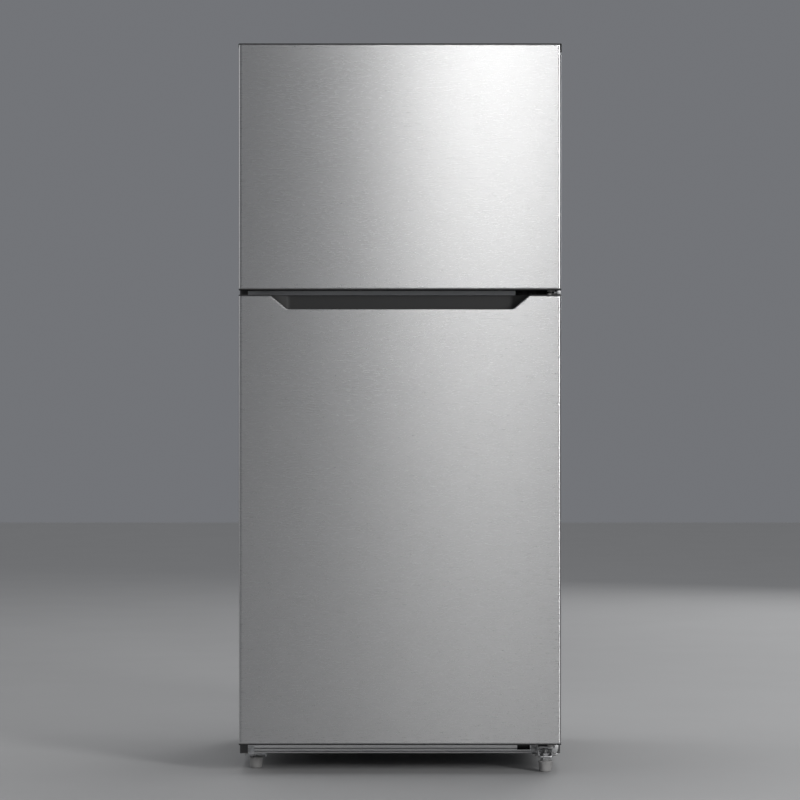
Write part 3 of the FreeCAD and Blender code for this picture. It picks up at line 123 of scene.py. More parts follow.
class Finish(Graph):
    """A material, built round one Principled shader."""

    def __init__(self, name, **constants):
        self.material = bpy.data.materials.new(name)
        self.material.use_nodes = True
        super().__init__(self.material.node_tree)
        self.shader = self.tree.nodes["Principled BSDF"]
        self.set(**constants)

    def set(self, **values):
        for key, value in values.items():
            socket = self.shader.inputs[key.replace("_", " ")]
            if isinstance(value, Wire):
                self.tree.links.new(value.socket, socket)
            else:
                colour = isinstance(value, tuple) and len(value) == 3
                socket.default_value = (*value, 1) if colour else value
        return self

    def place(self, scale=(1, 1, 1), turn=(0, 0, 0)):
        """Object coordinates in metres, stretched by scale."""
        where = self.node("ShaderNodeTexCoord", out="Object")
        return self.node("ShaderNodeMapping", {}, {"Vector": where, "Scale": scale, "Rotation": turn})

    def noise(self, scale, size=1.0, detail=2.0, rough=0.5):
        """Cloudy noise from 0 to 1, scale in features per metre along each axis."""
        return self.node("ShaderNodeTexNoise", {}, {
            "Vector": self.place(scale), "Scale": size, "Detail": detail, "Roughness": rough})

    def ramp(self, wire, *stops):
        return self.node("ShaderNodeValToRGB", {"stops": stops}, {0: wire})

    def tint(self, factor, low, high):
        """A colour between two, by a factor."""
        return self.node("ShaderNodeMix", {"data_type": "RGBA"}, {
            0: factor, 6: (*low, 1), 7: (*high, 1)}, out=2)

    def bump(self, height, deep, strength=1.0):
        """A small relief, deep in metres, sent to the shader's normal."""
        return self.set(Normal=self.node("ShaderNodeBump", {}, {
            "Height": height, "Distance": deep, "Strength": strength}))


# ---------------------------------------------------------------------------------------- finishes
def grey(level, warm=0.0):
    return (level * (1 + warm), level, level * (1 - warm))


def stainless():
    """Sheet steel with a level brushed grain in short strokes, and the faint cloud of its rolling."""
    steel = Finish("stainless", Metallic=1.0, Anisotropic=0.88, Anisotropic_Rotation=0.25)
    strokes = steel.noise((48, 48, 1500), detail=3.0, rough=0.62)
    hairs = steel.noise((150, 150, 4200), detail=1.0)
    cloud = steel.noise((5, 5, 9), detail=2.0)
    grain = strokes * 0.62 + hairs * 0.28 + cloud * 0.1
    clear_grain = steel.ramp(grain, (0.3, 0.0), (0.7, 1.0))
    steel.set(Base_Color=steel.tint(clear_grain, grey(0.535, 0.004), grey(0.625, 0.004)))
    steel.set(Roughness=strokes * 0.05 + 0.255)
    return steel.bump(strokes * 0.6 + hairs * 0.4, 0.000008).material


def plain_steel(name, tone, rough, spread=0.08, scale=40.0):
    """Plated or bare steel with a light mottle and fine handling marks."""
    steel = Finish(name, Metallic=1.0)
    mottle = steel.noise((scale,) * 3, detail=4.0)
    marks = steel.noise((scale * 8, scale * 22, scale * 8), detail=2.0)
    steel.set(
        Base_Color=steel.tint(mottle, grey(tone * (1 - spread), 0.01), grey(tone * (1 + spread), -0.01)),
        Roughness=mottle * 0.16 + marks * 0.1 + rough - 0.12,
    )
    return steel.bump(marks, 0.00003).material


def galvanised():
    """Hot dipped sheet with the crystal spangle of its zinc."""
    sheet = Finish("galvanised", Metallic=0.85)
    cells = sheet.node("ShaderNodeTexVoronoi", {}, {"Vector": sheet.place((110,) * 3), "Scale": 1.0},
                       out="Color")
    tone = sheet.node("ShaderNodeSeparateColor", {}, {0: cells}) * 0.7 + sheet.noise((14,) * 3) * 0.3
    sheet.set(Base_Color=sheet.tint(tone, grey(0.44), grey(0.66, -0.02)), Roughness=tone * 0.2 + 0.34)
    return sheet.bump(tone, 0.00002).material


def paint(name, tone, rough=0.45, peel=700.0, deep=0.00003, warm=0.0, spread=0.04, metal=0.0):
    """Baked paint or moulded plastic with an even fine texture and a slight drift of tone."""
    coat = Finish(name, Metallic=metal)
    skin = coat.noise((peel,) * 3, detail=2.0)
    drift = coat.noise((9,) * 3, detail=3.0)
    low, high = grey(tone * (1 - spread), warm), grey(tone * (1 + spread), warm)
    coat.set(Base_Color=coat.tint(skin * 0.4 + drift * 0.6, low, high))
    coat.set(Roughness=skin * 0.1 + drift * 0.06 + rough - 0.08)
    return coat.bump(skin, deep).material


def clear(name, tint, rough, through=0.9):
    """Clear moulded plastic or float glass, with the faint haze of its surface."""
    pane = Finish(name, Transmission_Weight=through, IOR=1.49)
    haze = pane.noise((26,) * 3, detail=3.0)
    pane.set(Base_Color=pane.tint(haze, tuple(c * 0.96 for c in tint), tint), Roughness=haze * 0.05 + rough)
    return pane.bump(pane.noise((9, 9, 60)), 0.00003).material


def foam_finish():
    """Blown foam, open celled where it was cut."""
    foam = Finish("foam", Roughness=0.9)
    holes = foam.noise((420,) * 3, detail=3.0)
    foam.set(Base_Color=foam.tint(holes, (0.55, 0.47, 0.27), (0.78, 0.70, 0.48)))
    return foam.bump(holes, 0.0004).material


def rubber(name, tone, rough=0.62):
    """Soft moulded rubber, dull, with a little dust in it."""
    soft = Finish(name)
    dust = soft.noise((180,) * 3, detail=4.0)
    soft.set(Base_Color=soft.tint(dust, grey(tone * 0.9), grey(tone * 1.12)),
             Roughness=dust * 0.14 + rough - 0.07)
    return soft.bump(dust, 0.00006).material


def copper():
    """Drawn tube with the stain of handling."""
    tube = Finish("copper", Metallic=1.0)
    stain = tube.noise((70,) * 3, detail=4.0)
    tube.set(Base_Color=tube.tint(stain, (0.55, 0.25, 0.13), (0.86, 0.46, 0.28)),
             Roughness=stain * 0.2 + 0.22)
    return tube.bump(stain, 0.00004).material


def shelf_glass():
    """Float glass with a faint green tint and a light haze."""
    pane = Finish("shelf_glass", Transmission_Weight=0.66, IOR=1.5)
    haze = pane.noise((12,) * 3, detail=3.0)
    pane.set(Base_Color=pane.tint(haze, (0.80, 0.90, 0.86), (0.90, 0.96, 0.94)),
             Roughness=haze * 0.04 + 0.03)
    return pane.bump(haze, 0.00002).material


FINISH = {
    "stainless": stainless(),
    "cabinet_grey": paint("cabinet_grey", 0.075, 0.5, 520.0, 0.00005),
    "rail_grey": paint("rail_grey", 0.80, 0.36, 900.0, 0.00002, metal=0.85),
    "galvanised": galvanised(),
    "zinc": plain_steel("zinc", 0.52, 0.4, 0.14, 90.0),
    "hinge_black": paint("hinge_black", 0.02, 0.4, 800.0, 0.00003),
    "cap_grey": paint("cap_grey", 0.022, 0.58, 1100.0, 0.00004),
    "foam": foam_finish(),
    "liner_white": paint("liner_white", 0.80, 0.3, 260.0, 0.00002, 0.004, 0.015),
    "gasket_grey": rubber("gasket_grey", 0.42),
    "nylon": paint("nylon", 0.62, 0.5, 400.0, 0.00003, 0.03),
    "clear_plastic": clear("clear_plastic", (0.93, 0.96, 0.98), 0.12, 0.62),
    "shelf_glass": shelf_glass(),
    "lens": clear("lens", (0.95, 0.95, 0.93), 0.38, 0.6),
    "dial_grey": paint("dial_grey", 0.30, 0.4, 600.0, 0.00003),
    "foot_grey": paint("foot_grey", 0.33, 0.5, 500.0, 0.00005, 0.02),
    "roller_black": rubber("roller_black", 0.02, 0.55),
    "shell_black": paint("shell_black", 0.016, 0.36, 300.0, 0.00004),
    "grommet_black": rubber("grommet_black", 0.03, 0.7),
    "fin_aluminium": plain_steel("fin_aluminium", 0.78, 0.36, 0.05, 60.0),
    "copper": copper(),
    "fan_grey": paint("fan_grey", 0.10, 0.5, 500.0, 0.00004),
}
SLOT_OF = {entry["node"]: entry["material_slot"] for entry in frame["record"]["subparts"]}
BODY_OF = {name: piece["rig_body"] for name, piece in frame["nodes"].items()}
for name, piece in frame["nodes"].items():
    for place in piece.material_slots:
        place.material = FINISH[SLOT_OF[name]]


# ------------------------------------------------------------------------------------------ shapes
def box(node):
    """A frame node's lowest and highest corners in millimetres."""
    low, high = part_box(node)
    return [v * 1000 for v in low], [v * 1000 for v in high]


def arc(centre, radius, start, end, steps=6):
    """Points on an arc, angles in degrees."""
    return [
        (centre[0] + radius * math.cos(math.radians(start + (end - start) * i / steps)),
         centre[1] + radius * math.sin(math.radians(start + (end - start) * i / steps)))
        for i in range(steps + 1)
    ]


def oblong(low, high, radius, steps=5):
    """A rectangle with rounded corners, anticlockwise from its lower left side."""
    r = max(radius, 0.01)
    centres = [(low[0] + r, low[1] + r, 180), (high[0] - r, low[1] + r, 270),
               (high[0] - r, high[1] - r, 0), (low[0] + r, high[1] - r, 90)]
    return [p for x, y, turn in centres for p in arc((x, y), r, turn, turn + 90, steps)]


def inset(low, high, by, radius, steps=5):
    """A rounded rectangle between two corners, drawn in by a width all round."""
    return oblong((low[0] + by, low[1] + by), (high[0] - by, high[1] - by), radius, steps)


DRAWN = {"x": lambda a, b, c: (c, a, b), "y": lambda a, b, c: (a, c, b), "z": lambda a, b, c: (a, b, c)}
TURNED = {**DRAWN, "y": lambda a, b, c: (b, c, a)}


class Shape:
    """A piece's mesh while it is made, in millimetres."""

    def __init__(self):
        self.mesh = bmesh.new()

    def grid(self, rows, wrap=False, ends=False, round_trip=False, skip=None):
        """A skin through rows of points; wrap closes each row, ends fills the first and last."""
        made = [[self.mesh.verts.new(p) for p in row] for row in rows]
        pairs = list(zip(made, made[1:])) + ([(made[-1], made[0])] if round_trip else [])
        count = len(rows[0])
        for k, (one, two) in enumerate(pairs):
            for i in range(count if wrap else count - 1):
                if skip and skip(k, i):
                    continue
                j = (i + 1) % count
                self.mesh.faces.new((one[i], one[j], two[j], two[i]))
        if ends:
            self.mesh.faces.new(made[0][::-1])
            self.mesh.faces.new(made[-1])
        return self

    def slab(self, low, high, edge=0.6, steps=2):
        """A block with rounded edges."""
        made = bmesh.ops.create_cube(self.mesh, size=1)["verts"]
        for v in made:
            v.co = [a + (b - a) * (c + 0.5) for a, b, c in zip(low, high, v.co)]
        if edge:
            edges = list(dict.fromkeys(e for v in made for e in v.link_edges))
            bmesh.ops.bevel(self.mesh, geom=edges, offset=edge, segments=steps, profile=0.5, affect="EDGES")
        return self

    def prism(self, outline, axis, low, high, edge=0.0, steps=2):
        """An outline drawn out along an axis, with its end edges rounded."""
        put = DRAWN[axis]
        rows = [[self.mesh.verts.new(put(a, b, c)) for a, b in outline] for c in (low, high)]
        faces = [self.mesh.faces.new(rows[0][::-1]), self.mesh.faces.new(rows[1])]
        count = len(outline)
        for i in range(count):
            j = (i + 1) % count
            faces.append(self.mesh.faces.new((rows[0][i], rows[0][j], rows[1][j], rows[1][i])))
        bmesh.ops.recalc_face_normals(self.mesh, faces=faces)
        if edge:
            edges = list(dict.fromkeys(e for f in faces[:2] for e in f.edges))
            bmesh.ops.bevel(self.mesh, geom=edges, offset=edge, segments=steps, profile=0.5, affect="EDGES")
        return self

    def turned(self, profile, at, axis="z", steps=32, wave=None):
        """A profile of (radius, height) turned about an axis through a point."""
        put = TURNED[axis]
        rows = []
        for i in range(steps):
            angle = 2 * math.pi * i / steps
            row = []
            for radius, height in profile:
                r = radius * (wave(angle, height) if wave else 1)
                p = put(r * math.cos(angle), r * math.sin(angle), height)
                row.append([a + b for a, b in zip(p, at)])
            rows.append(row)
        return self.grid(rows, wrap=profile[0][0] > 0, round_trip=True)

    def screw(self, at, axis="z", way=1, size=6.0, high=3.2):
        """A pan head with a cross recess, its seat at a point, facing along way on an axis."""
        dome = [(0, high * 0.62), (size * 0.18, high * 0.62), (size * 0.2, high),
                (size * 0.55, high * 0.93), (size * 0.85, high * 0.6), (size, high * 0.12), (size, 0),
                (0, 0)]
        return self.turned([(r, h * way) for r, h in dome], at, axis, 20)

    def make(self, name, slot, body, *nodes, wall=0.0, flip=False, sharp=32, fix=True, towards=None):
        """The finished piece: welded, facing outwards or towards a side, riding on its body."""
        bmesh.ops.remove_doubles(self.mesh, verts=self.mesh.verts, dist=0.002)
        if fix:
            bmesh.ops.recalc_face_normals(self.mesh, faces=self.mesh.faces)
        if towards:
            self.mesh.normal_update()
            facing = sum((f.normal * f.calc_area() for f in self.mesh.faces), Vector())
            flip = facing.dot(Vector(towards)) < 0
        if flip:
            bmesh.ops.reverse_faces(self.mesh, faces=self.mesh.faces)
        self.mesh.edges.index_update()
        rims = [edge.index for edge in self.mesh.edges if edge.is_boundary]
        bmesh.ops.scale(self.mesh, vec=(0.001, 0.001, 0.001), verts=self.mesh.verts)
        data = bpy.data.meshes.new(name)
        self.mesh.to_mesh(data)
        self.mesh.free()
        for face in data.polygons:
            face.use_smooth = True
        data.set_sharp_from_angle(angle=math.radians(sharp))
        for index in rims:
            data.edges[index].use_edge_sharp = True
        made = bpy.data.objects.new(name, data)
        bpy.context.scene.collection.objects.link(made)
        data.materials.append(FINISH[slot])
        if wall:
            thick = made.modifiers.new("wall", "SOLIDIFY")
            thick.thickness = wall * 0.001
            thick.offset = -1
            thick.use_even_offset = False
        return settle(made, slot, body, *nodes)


def settle(made, slot, body, *nodes):
    """Put a piece on its body and hide the frame nodes that it stands for; its slot is not used."""
    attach(made, body)
    if nodes:
        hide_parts(*nodes)
    return made


# ------------------------------------------------------------------------------- camera and lights
def lamp(name, place, aim, size, power, tone=(1, 1, 1)):
    data = bpy.data.lights.new(name, "AREA")
    data.shape = "RECTANGLE"
    data.size, data.size_y = size
    data.energy = power
    data.color = tone
    made = bpy.data.objects.new(name, data)
    made.location = place
    made.rotation_euler = (Vector(aim) - Vector(place)).to_track_quat("-Z", "Y").to_euler()
    bpy.context.scene.collection.objects.link(made)
    return made


def make_studio():
    """Camera, soft lights, a pale floor and a dim pale room."""
    scene = bpy.context.scene
    camera = bpy.data.objects.new("camera", bpy.data.cameras.new("camera"))
    camera.data.lens = 135.6
    camera.data.sensor_width = 36
    camera.data.clip_end = 60
    camera.location = (0, -7.3825, 0.8695)
    camera.rotation_euler = (math.pi / 2, 0, 0)
    scene.collection.objects.link(camera)
    scene.camera = camera
    lamp("key", (0.50, -8.6, 3.15), (0.1, -0.4, 1.4), (0.95, 1.2), 38)
    lamp("fill_left", (-4.8, 1.0, 2.6), (0, 0, 1.1), (4.2, 3.2), 34)
    lamp("fill_right", (3.6, -4.8, 2.3), (0, 0, 1.1), (1.2, 1.8), 165)
    lamp("top", (0, 0.6, 4.2), (0, 0, 1.0), (2.4, 2.0), 26)
    lamp("back", (2.4, 5.6, 2.6), (0, 0.3, 0.9), (2.4, 2.4), 60)
    sky = bpy.data.objects.new("sky", bpy.data.lights.new("sky", "SUN"))
    sky.data.energy = 0.5
    sky.data.angle = 1.4
    sky.rotation_euler = (math.radians(-14), 0, 0)
    scene.collection.objects.link(sky)
    world = bpy.data.worlds.new("room")
    world.use_nodes = True
    world.node_tree.nodes["Background"].inputs[0].default_value = (0.9, 0.93, 1.0, 1)
    world.node_tree.nodes["Background"].inputs[1].default_value = 0.19
    scene.world = world
    scene.view_settings.view_transform = "Standard"
    floor = Finish("floor", Roughness=0.7)
    cloud = floor.noise((3, 3, 3))
    floor.set(Base_Color=floor.tint(cloud, grey(0.40), grey(0.43)))
    data = bpy.data.meshes.new("floor")
    data.from_pydata([(-14, -14, 0), (14, -14, 0), (14, 14, 0), (-14, 14, 0)], [], [(0, 1, 2, 3)])
    data.materials.append(floor.material)
    ground = bpy.data.objects.new("floor", data)
    scene.collection.objects.link(ground)


make_studio()


# ------------------------------------------------------------------------------------------- doors
CORNER = 6.0
SKIN_LOW, SKIN_HIGH = box("fridge_door_skin")
SIDE = SKIN_HIGH[0]
FRONT = SKIN_LOW[1]
BACK = SKIN_HIGH[1]
FACE = box("cabinet_wrapper")[0][1]
NOTCH_TOP, NOTCH_FLOOR, NOTCH_DROP = 300.2, 262.5, 31.1
HEM, SHORT_HEM = 6.0, 1.5
STEP, BROW = 8.0, 8.0
CAP_WALL = 1.2


def plan(half, steps=6):
    """A door's level outline from its left rear edge round the front to its right rear edge."""
    left = arc((-half + CORNER, FRONT + CORNER), CORNER, 180, 270, steps)
    right = arc((half - CORNER, FRONT + CORNER), CORNER, 270, 360, steps)
    step = (FRONT + STEP + 0.05, FRONT + STEP - 0.05)
    return [(-half, BACK), *[(-half, y) for y in step], *left, *right, *[(half, y) for y in step[::-1]],
            (half, BACK)]


def notch(top):
    """The skin's top edge across the front, dipping to the finger pocket, with its round corners."""
    run, drop = NOTCH_TOP - NOTCH_FLOOR, NOTCH_DROP
    slope = math.atan2(drop, run)
    small, large = 5.0, 9.0
    reach_small, reach_large = small * math.tan(slope / 2), large * math.tan(slope / 2)
    turn = math.degrees(slope)
    upper = arc((NOTCH_TOP + reach_small, top - small), small, 90, 90 + turn, 5)
    lower = arc((NOTCH_FLOOR - reach_large, top - drop + large), large, 270 + turn, 270, 6)
    right = upper + lower
    return [(-x, z) for x, z in right], right


def edge_points(high, notched):
    """Points along the front's top edge, left to right, each with its inward direction in the sheet."""
    half = SIDE - CORNER
    if notched:
        left, right = notch(high)
        line = [(-half, high), *[(-x, high) for x in (half - 1.2, 352, 336, 320)], *left]
        line += [(x, high - NOTCH_DROP) for x in (-200, -120, -40, 40, 120, 200)]
        line += [*right[::-1], *[(x, high) for x in (320, 336, 352, half - 1.2)], (half, high)]
    else:
        inner = half - 1.2
        line = [(-half, high), *[(-inner + 2 * inner * i / 12, high) for i in range(13)], (half, high)]
    made = []
    for i, (x, z) in enumerate(line):
        before, after = line[max(i - 1, 0)], line[min(i + 1, len(line) - 1)]
        dx, dz = after[0] - before[0], after[1] - before[1]
        size = math.hypot(dx, dz)
        made.append((x, z, dz / size, -dx / size))
    return made


def make_skin(name, low, high, notched, roll=2.6):
    """A door's steel sheet, wrapped round the sides, its top and bottom edges rolled in."""
    bends = [90 - 18 * i for i in range(6)]
    columns = []
    sides = plan(SIDE)
    count = len(sides) // 2
    behind = 0.0 if notched else BROW
    for x, y in sides[:count]:
        columns.append((x, y, high - (behind if y > FRONT + STEP else 0.0), 0.0, -1.0))
    columns += [(x, FRONT, z, mx, mz) for x, z, mx, mz in edge_points(high, notched)[1:-1]]
    for x, y in sides[count:]:
        columns.append((x, y, high - (behind if y > FRONT + STEP else 0.0), 0.0, -1.0))
    rows = []

    def inward(x, y, depth):
        """The point depth behind the sheet's outer face."""
        if abs(x) > SIDE - CORNER and y < FRONT + CORNER:
            cx, cy = math.copysign(SIDE - CORNER, x), FRONT + CORNER
            scale = (CORNER - depth) / CORNER
            return cx + (x - cx) * scale, cy + (y - cy) * scale
        if abs(x) >= SIDE - 0.01:
            return x - math.copysign(depth, x), y
        return x, y + depth

    def edge(x, y, z, mx, mz, bend):
        """A point on the rolled edge, at a bend from 90 (its free side) to 0 degrees."""
        along = roll * (1 - math.sin(math.radians(bend)))
        deep = roll * (1 - math.cos(math.radians(bend)))
        px, py = inward(x, y, deep)
        return (px + mx * along, py, z + mz * along)

    def hem(x):
        """How far behind the front the sheet's free edge lies."""
        return roll + (HEM if abs(x) < SIDE - 8 else SHORT_HEM)

    rows.append([(*inward(x, y, hem(x)), low) for x, y, *rest in columns])
    rows += [[edge(x, y, low, 0, 1, bend) for x, y, *rest in columns] for bend in bends]
    for place in (low + roll + 0.8, low + 20, low + (high - low) * 0.35, low + (high - low) * 0.65,
                  high - 60):
        rows.append([(x, y, place) for x, y, *rest in columns])
    for deep in (roll + 2.2, roll + 0.8):
        rows.append([(x + mx * deep, y, z + mz * deep) for x, y, z, mx, mz in columns])
    rows += [[edge(*column, bend) for column in columns] for bend in bends[::-1]]
    rows.append([(*inward(x, y, roll + SHORT_HEM), z) for x, y, z, *rest in columns])
    Shape().grid(rows).make(name + "_sheet", "stainless", BODY_OF[name], name, wall=0.7, sharp=40,
                            fix=False)


def make_skins():
    for name, notched in (("freezer_door_skin", False), ("fridge_door_skin", True)):
        low, high = box(name)
        make_skin(name, low[2], high[2], notched)


make_skins()


def cap_columns(half):
    """Places across a door's end cap, with the front edge's place at each."""
    turn = arc((half - CORNER, FRONT + CORNER), CORNER, 270, 360, 6)[::-1]
    slope = [302 - 2.5 * i for i in range(1, 17)]
    right = turn + [(x, FRONT) for x in (352, 336, 320, 306, 302.5, *slope, 255, 240, 180, 90, 0)]
    return [(-x, y) for x, y in right if x > 0] + right[::-1]


def with_ends(rows, half, level):
    """Rows with the cap's two upright ends added, each of their points brought to a level."""

    def end(at, row):
        """One end as a row of points."""
        return [(at, b, level(i, z)) for i, (x, b, z) in enumerate(row)]

    return [end(-half, rows[0]), *rows, end(half, rows[-1])]


def make_cap(name, rows, way, sharp=32):
    """A door's end cap through rows of points, its wall laid inwards, facing up or down."""
    Shape().grid(rows).make(name + "_moulding", "cap_grey", BODY_OF[name], name, wall=CAP_WALL, sharp=sharp,
                            fix=False, towards=(0, 0, way))


def dip(x):
    """How far the skin's top edge lies below the cap's top, from 0 to 1 of the whole drop."""
    return min(max((302.5 - abs(x)) / 40.0, 0.0), 1.0)


def make_pocket_cap():
    """The fridge door's top cap with the finger pocket moulded into it."""
    name = "fridge_door_top_cap"
    high = box(name)[1]
    top = high[2]
    half = high[0]
    rows = []
    deep, hook = 36.8, 14.0
    for x, y in cap_columns(half):
        s = dip(x)
        pinch = s ** 0.6
        lip = top - 1.2 - (NOTCH_DROP + 0.9) * s
        if s <= 0:
            profile = [(y + 0.3, top - 2.2), (y + 0.3, top - 0.7), (y + 1.0, top)]
            profile += [(y + 1.1 + 0.1 * i, top) for i in range(17)]
        else:
            profile = [(y + 1.0, lip - 1.6 - 2.4 * s), (y + 1.0, lip - 0.6), (y + 1.6, lip)]
            profile += [(y + 1.6 + 2.6 * pinch, lip), (y + 1.6 + 3.4 * pinch, lip - 0.8)]
            profile += [(y + 1.6 + 3.4 * pinch, lip - hook * s * 0.7)]
            base = lip - hook * s
            profile += [(y + 1.6 + 3.4 * pinch + 4 * pinch * (1 - math.cos(a)),
                         base + hook * 0.3 * s * (1 - math.sin(a))) for a in (0.5, 1.0, math.pi / 2)]
            profile += [(y + 1.6 + (deep - 14) * pinch, base)]
            wall = y + 1.6 + deep * pinch
            curve = min(14.0, (top - base) * 0.45)
            profile += [(wall - 14 * pinch * (1 - math.sin(a)), base + curve * (1 - math.cos(a)))
                        for a in (0.4, 0.8, 1.2, math.pi / 2)]
            profile += [(wall, top - 2.5), (wall + 0.7, top - 0.8), (wall + 2.5, top)]
            while len(profile) < 20:
                profile.append((wall + 2.5 + 0.4 * (len(profile) - 16), top))
        profile += [(BACK - 10, top), (BACK - 1.0, top), (BACK - 0.3, top - 0.7), (BACK - 0.3, top - 12)]
        rows.append([(x, b, z) for b, z in profile])
    make_cap(name, with_ends(rows, half, lambda i, z: min(z, top - 2.2)), 1, sharp=30)


def make_plain_caps():
    """The two bottom end caps: a rim that follows the door, with a grip groove in the freezer's."""
    for name in ("fridge_door_bottom_cap", "freezer_door_bottom_cap"):
        low, high = box(name)
        edge = low[2]
        half = high[0]
        rows = []
        grip = name.startswith("freezer")
        for x, y in cap_columns(half):
            s = min(max((266 - abs(x)) / 4.0, 0), 1) if grip else 0
            base = [(y + 0.3, edge + 2.2), (y + 0.3, edge + 0.7), (y + 1.0, edge)]
            base += [(y + 9.0, edge), (y + 10.0, edge + 1.0 * s), (y + 10.5, edge + 14 * s),
                     (y + 13.0, edge + 17.5 * s), (y + 22.0, edge + 18 * s), (y + 32.0, edge + 16 * s),
                     (y + 35.0, edge + 12 * s), (y + 36.0, edge + 1 * s), (y + 37.0, edge),
                     (BACK - 1.0, edge), (BACK - 0.3, edge + 0.7), (BACK - 0.3, edge + 12)]
            rows.append([(x, b, z) for b, z in base])
        make_cap(name, with_ends(rows, half, lambda i, z: max(z, edge + 2.2)), -1)


make_pocket_cap()
make_plain_caps()


def make_brow_cap():
    """The freezer door's top cap: a brow over the skin, and the ledge behind it for the hinge arm."""
    name = "freezer_door_top_cap"
    low, high = box(name)
    crown, ledge = high[2], high[2] - BROW
    half = SIDE + 0.5
    rows = []
    for x, y in cap_columns(half):
        step = max(FRONT + STEP, y + 2.4)
        rows.append([(x, y + 0.3, crown - 2.2), (x, y + 0.3, crown - 0.7), (x, y + 1.0, crown),
                     (x, step - 0.8, crown), (x, step, crown - 0.8), (x, step, ledge + 0.8),
                     (x, step + 0.8, ledge), (x, FRONT + 24, ledge), (x, BACK - 1.0, ledge),
                     (x, BACK - 0.3, ledge - 0.7), (x, BACK - 0.3, ledge - 12)])
    make_cap(name, with_ends(rows, half, lambda i, z: min(z, (crown if i < 5 else ledge) - 2.2)), 1)
    if high[0] > half + 0.5:
        brow_end = Shape().slab((SIDE - 1, FRONT + 2, low[2] + 1), (high[0], FRONT + 8, crown - 0.4), 0.5)
        brow_end.make(name + "_end", "cap_grey", BODY_OF[name])


make_brow_cap()


# ----------------------------------------------------------------------------------------- cabinet
def make_wrapper():
    """The outer sheet bent over the top and sides, and the flange that it turns in round the front."""
    name = "cabinet_wrapper"
    low, high = box(name)
    side, top, bend = high[0], high[2], 2.4
    face, rear = low[1], high[1]

    def hoop(depth, y):
        corner = 4.0 - depth if depth < 3.5 else 0.4
        left = arc((-side + depth + corner, top - depth - corner), corner, 180, 90, 6)
        right = arc((side - depth - corner, top - depth - corner), corner, 90, 0, 6)
        path = [(-side + depth, low[2]), (-side + depth, 500), (-side + depth, 1000), *left, *right,
                (side - depth, 1000), (side - depth, 500), (side - depth, low[2])]
        return [(x, y, z) for x, z in path]

    turn = [(bend * (1 - math.sin(a)), face + bend * (1 - math.cos(a))) for a in
            [math.pi / 2 * i / 5 for i in range(6)]]
    rows = [hoop(9.0, face), *[hoop(i, y) for i, y in turn], hoop(0, -100), hoop(0, 120),
            hoop(0, rear - 1), hoop(0.5, rear)]
    Shape().grid(rows).make(name + "_sheet", "cabinet_grey", "cabinet", name, wall=1.1, fix=False)
    flange = Shape()
    y = (face + 0.05, face + 1.15)
    rail_low, rail_high = box("mullion_rail")
    sill = box("bottom_rail")[1][2]
    rooms = [(sill, rail_low[2]), (rail_high[2], box("freezer_liner")[1][2] + 0.2)]
    for hand in (-1, 1):
        x = sorted((hand * (side - 3.0), hand * 357.2))
        flange.slab((x[0], y[0], low[2] + 0.5), (x[1], y[1], top - 3.0), 0.15, 1)
        for z in rooms:
            x = sorted((hand * 357.4, hand * 330.2))
            flange.slab((x[0], y[0], z[0] + 0.4), (x[1], y[1], z[1] - 0.4), 0.15, 1)
    flange.slab((-357.2, y[0], rooms[1][1]), (357.2, y[1], top - 3.0), 0.15, 1)
    flange.make(name + "_flange", "cabinet_grey", "cabinet")


def make_rail(name, slot, ridges=(), hole=None, lips=20.0):
    """A front rail folded from sheet, with rolled edges and any ridges pressed along its face."""
    low, high = box(name)
    face = low[1]
    bottom = arc((face + 3.0, low[2] + 3.0), 3.0, 270, 180, 5)
    upper = arc((face + 3.0, high[2] - 3.0), 3.0, 180, 90, 5)
    profile = [(face + lips, low[2]), *bottom]
    for z in ridges:
        profile += [(face, z - 1.9), (face + 0.5, z - 1.3), (face + 1.3, z), (face + 0.5, z + 1.3),
                    (face, z + 1.9)]
    if hole:
        profile += [(face, hole[1][0]), (face, hole[1][1])]
    profile += [*upper, (face + lips, high[2])]

    def climb(point):
        """Upwards, and round each rolled edge in its turn."""
        return point[1], -point[0] if point[1] < low[2] + 3 else point[0]

    profile = [profile[0], *sorted(profile[1:-1], key=climb), profile[-1]]
    xs = [low[0], low[0] + 60, -120, 0, 120, *(hole[0] if hole else ()), high[0] - 20, high[0]]
    rows = [[(x, y, z) for y, z in profile] for x in xs]

    def skip(k, i):
        if not hole:
            return False
        middle = (profile[i][1] + profile[i + 1][1]) / 2
        beside = xs[k] >= hole[0][0] - 0.1 and xs[k + 1] <= hole[0][1] + 0.1
        on_face = max(profile[i][0], profile[i + 1][0]) < face + 4
        return beside and on_face and hole[1][0] < middle < hole[1][1]

    Shape().grid(rows, skip=skip).make(name + "_fold", slot, "cabinet", name, wall=2.0, fix=False,
                                       flip=True)


make_wrapper()
make_rail("mullion_rail", "rail_grey")
sill_low = box("bottom_rail")[0][2]
make_rail("bottom_rail", "rail_grey", (sill_low + 5.2, sill_low + 11.7),
          ((275, 305), (sill_low + 8.6, sill_low + 23)))
# A black plate behind the rail's slot: painted shade that stands in for the dark inside of the slot
painted_shade_backing = Shape().slab((268, FACE + 16.5, sill_low + 6), (312, FACE + 19.5, sill_low + 34), 1.0)
painted_shade_backing.make("bottom_rail_slot_backing", "hinge_black", "cabinet")


# ------------------------------------------------------------------------------------------ hinges
HINGE = (352.0, -352.5)
FOOT = (340.0, -332.5)


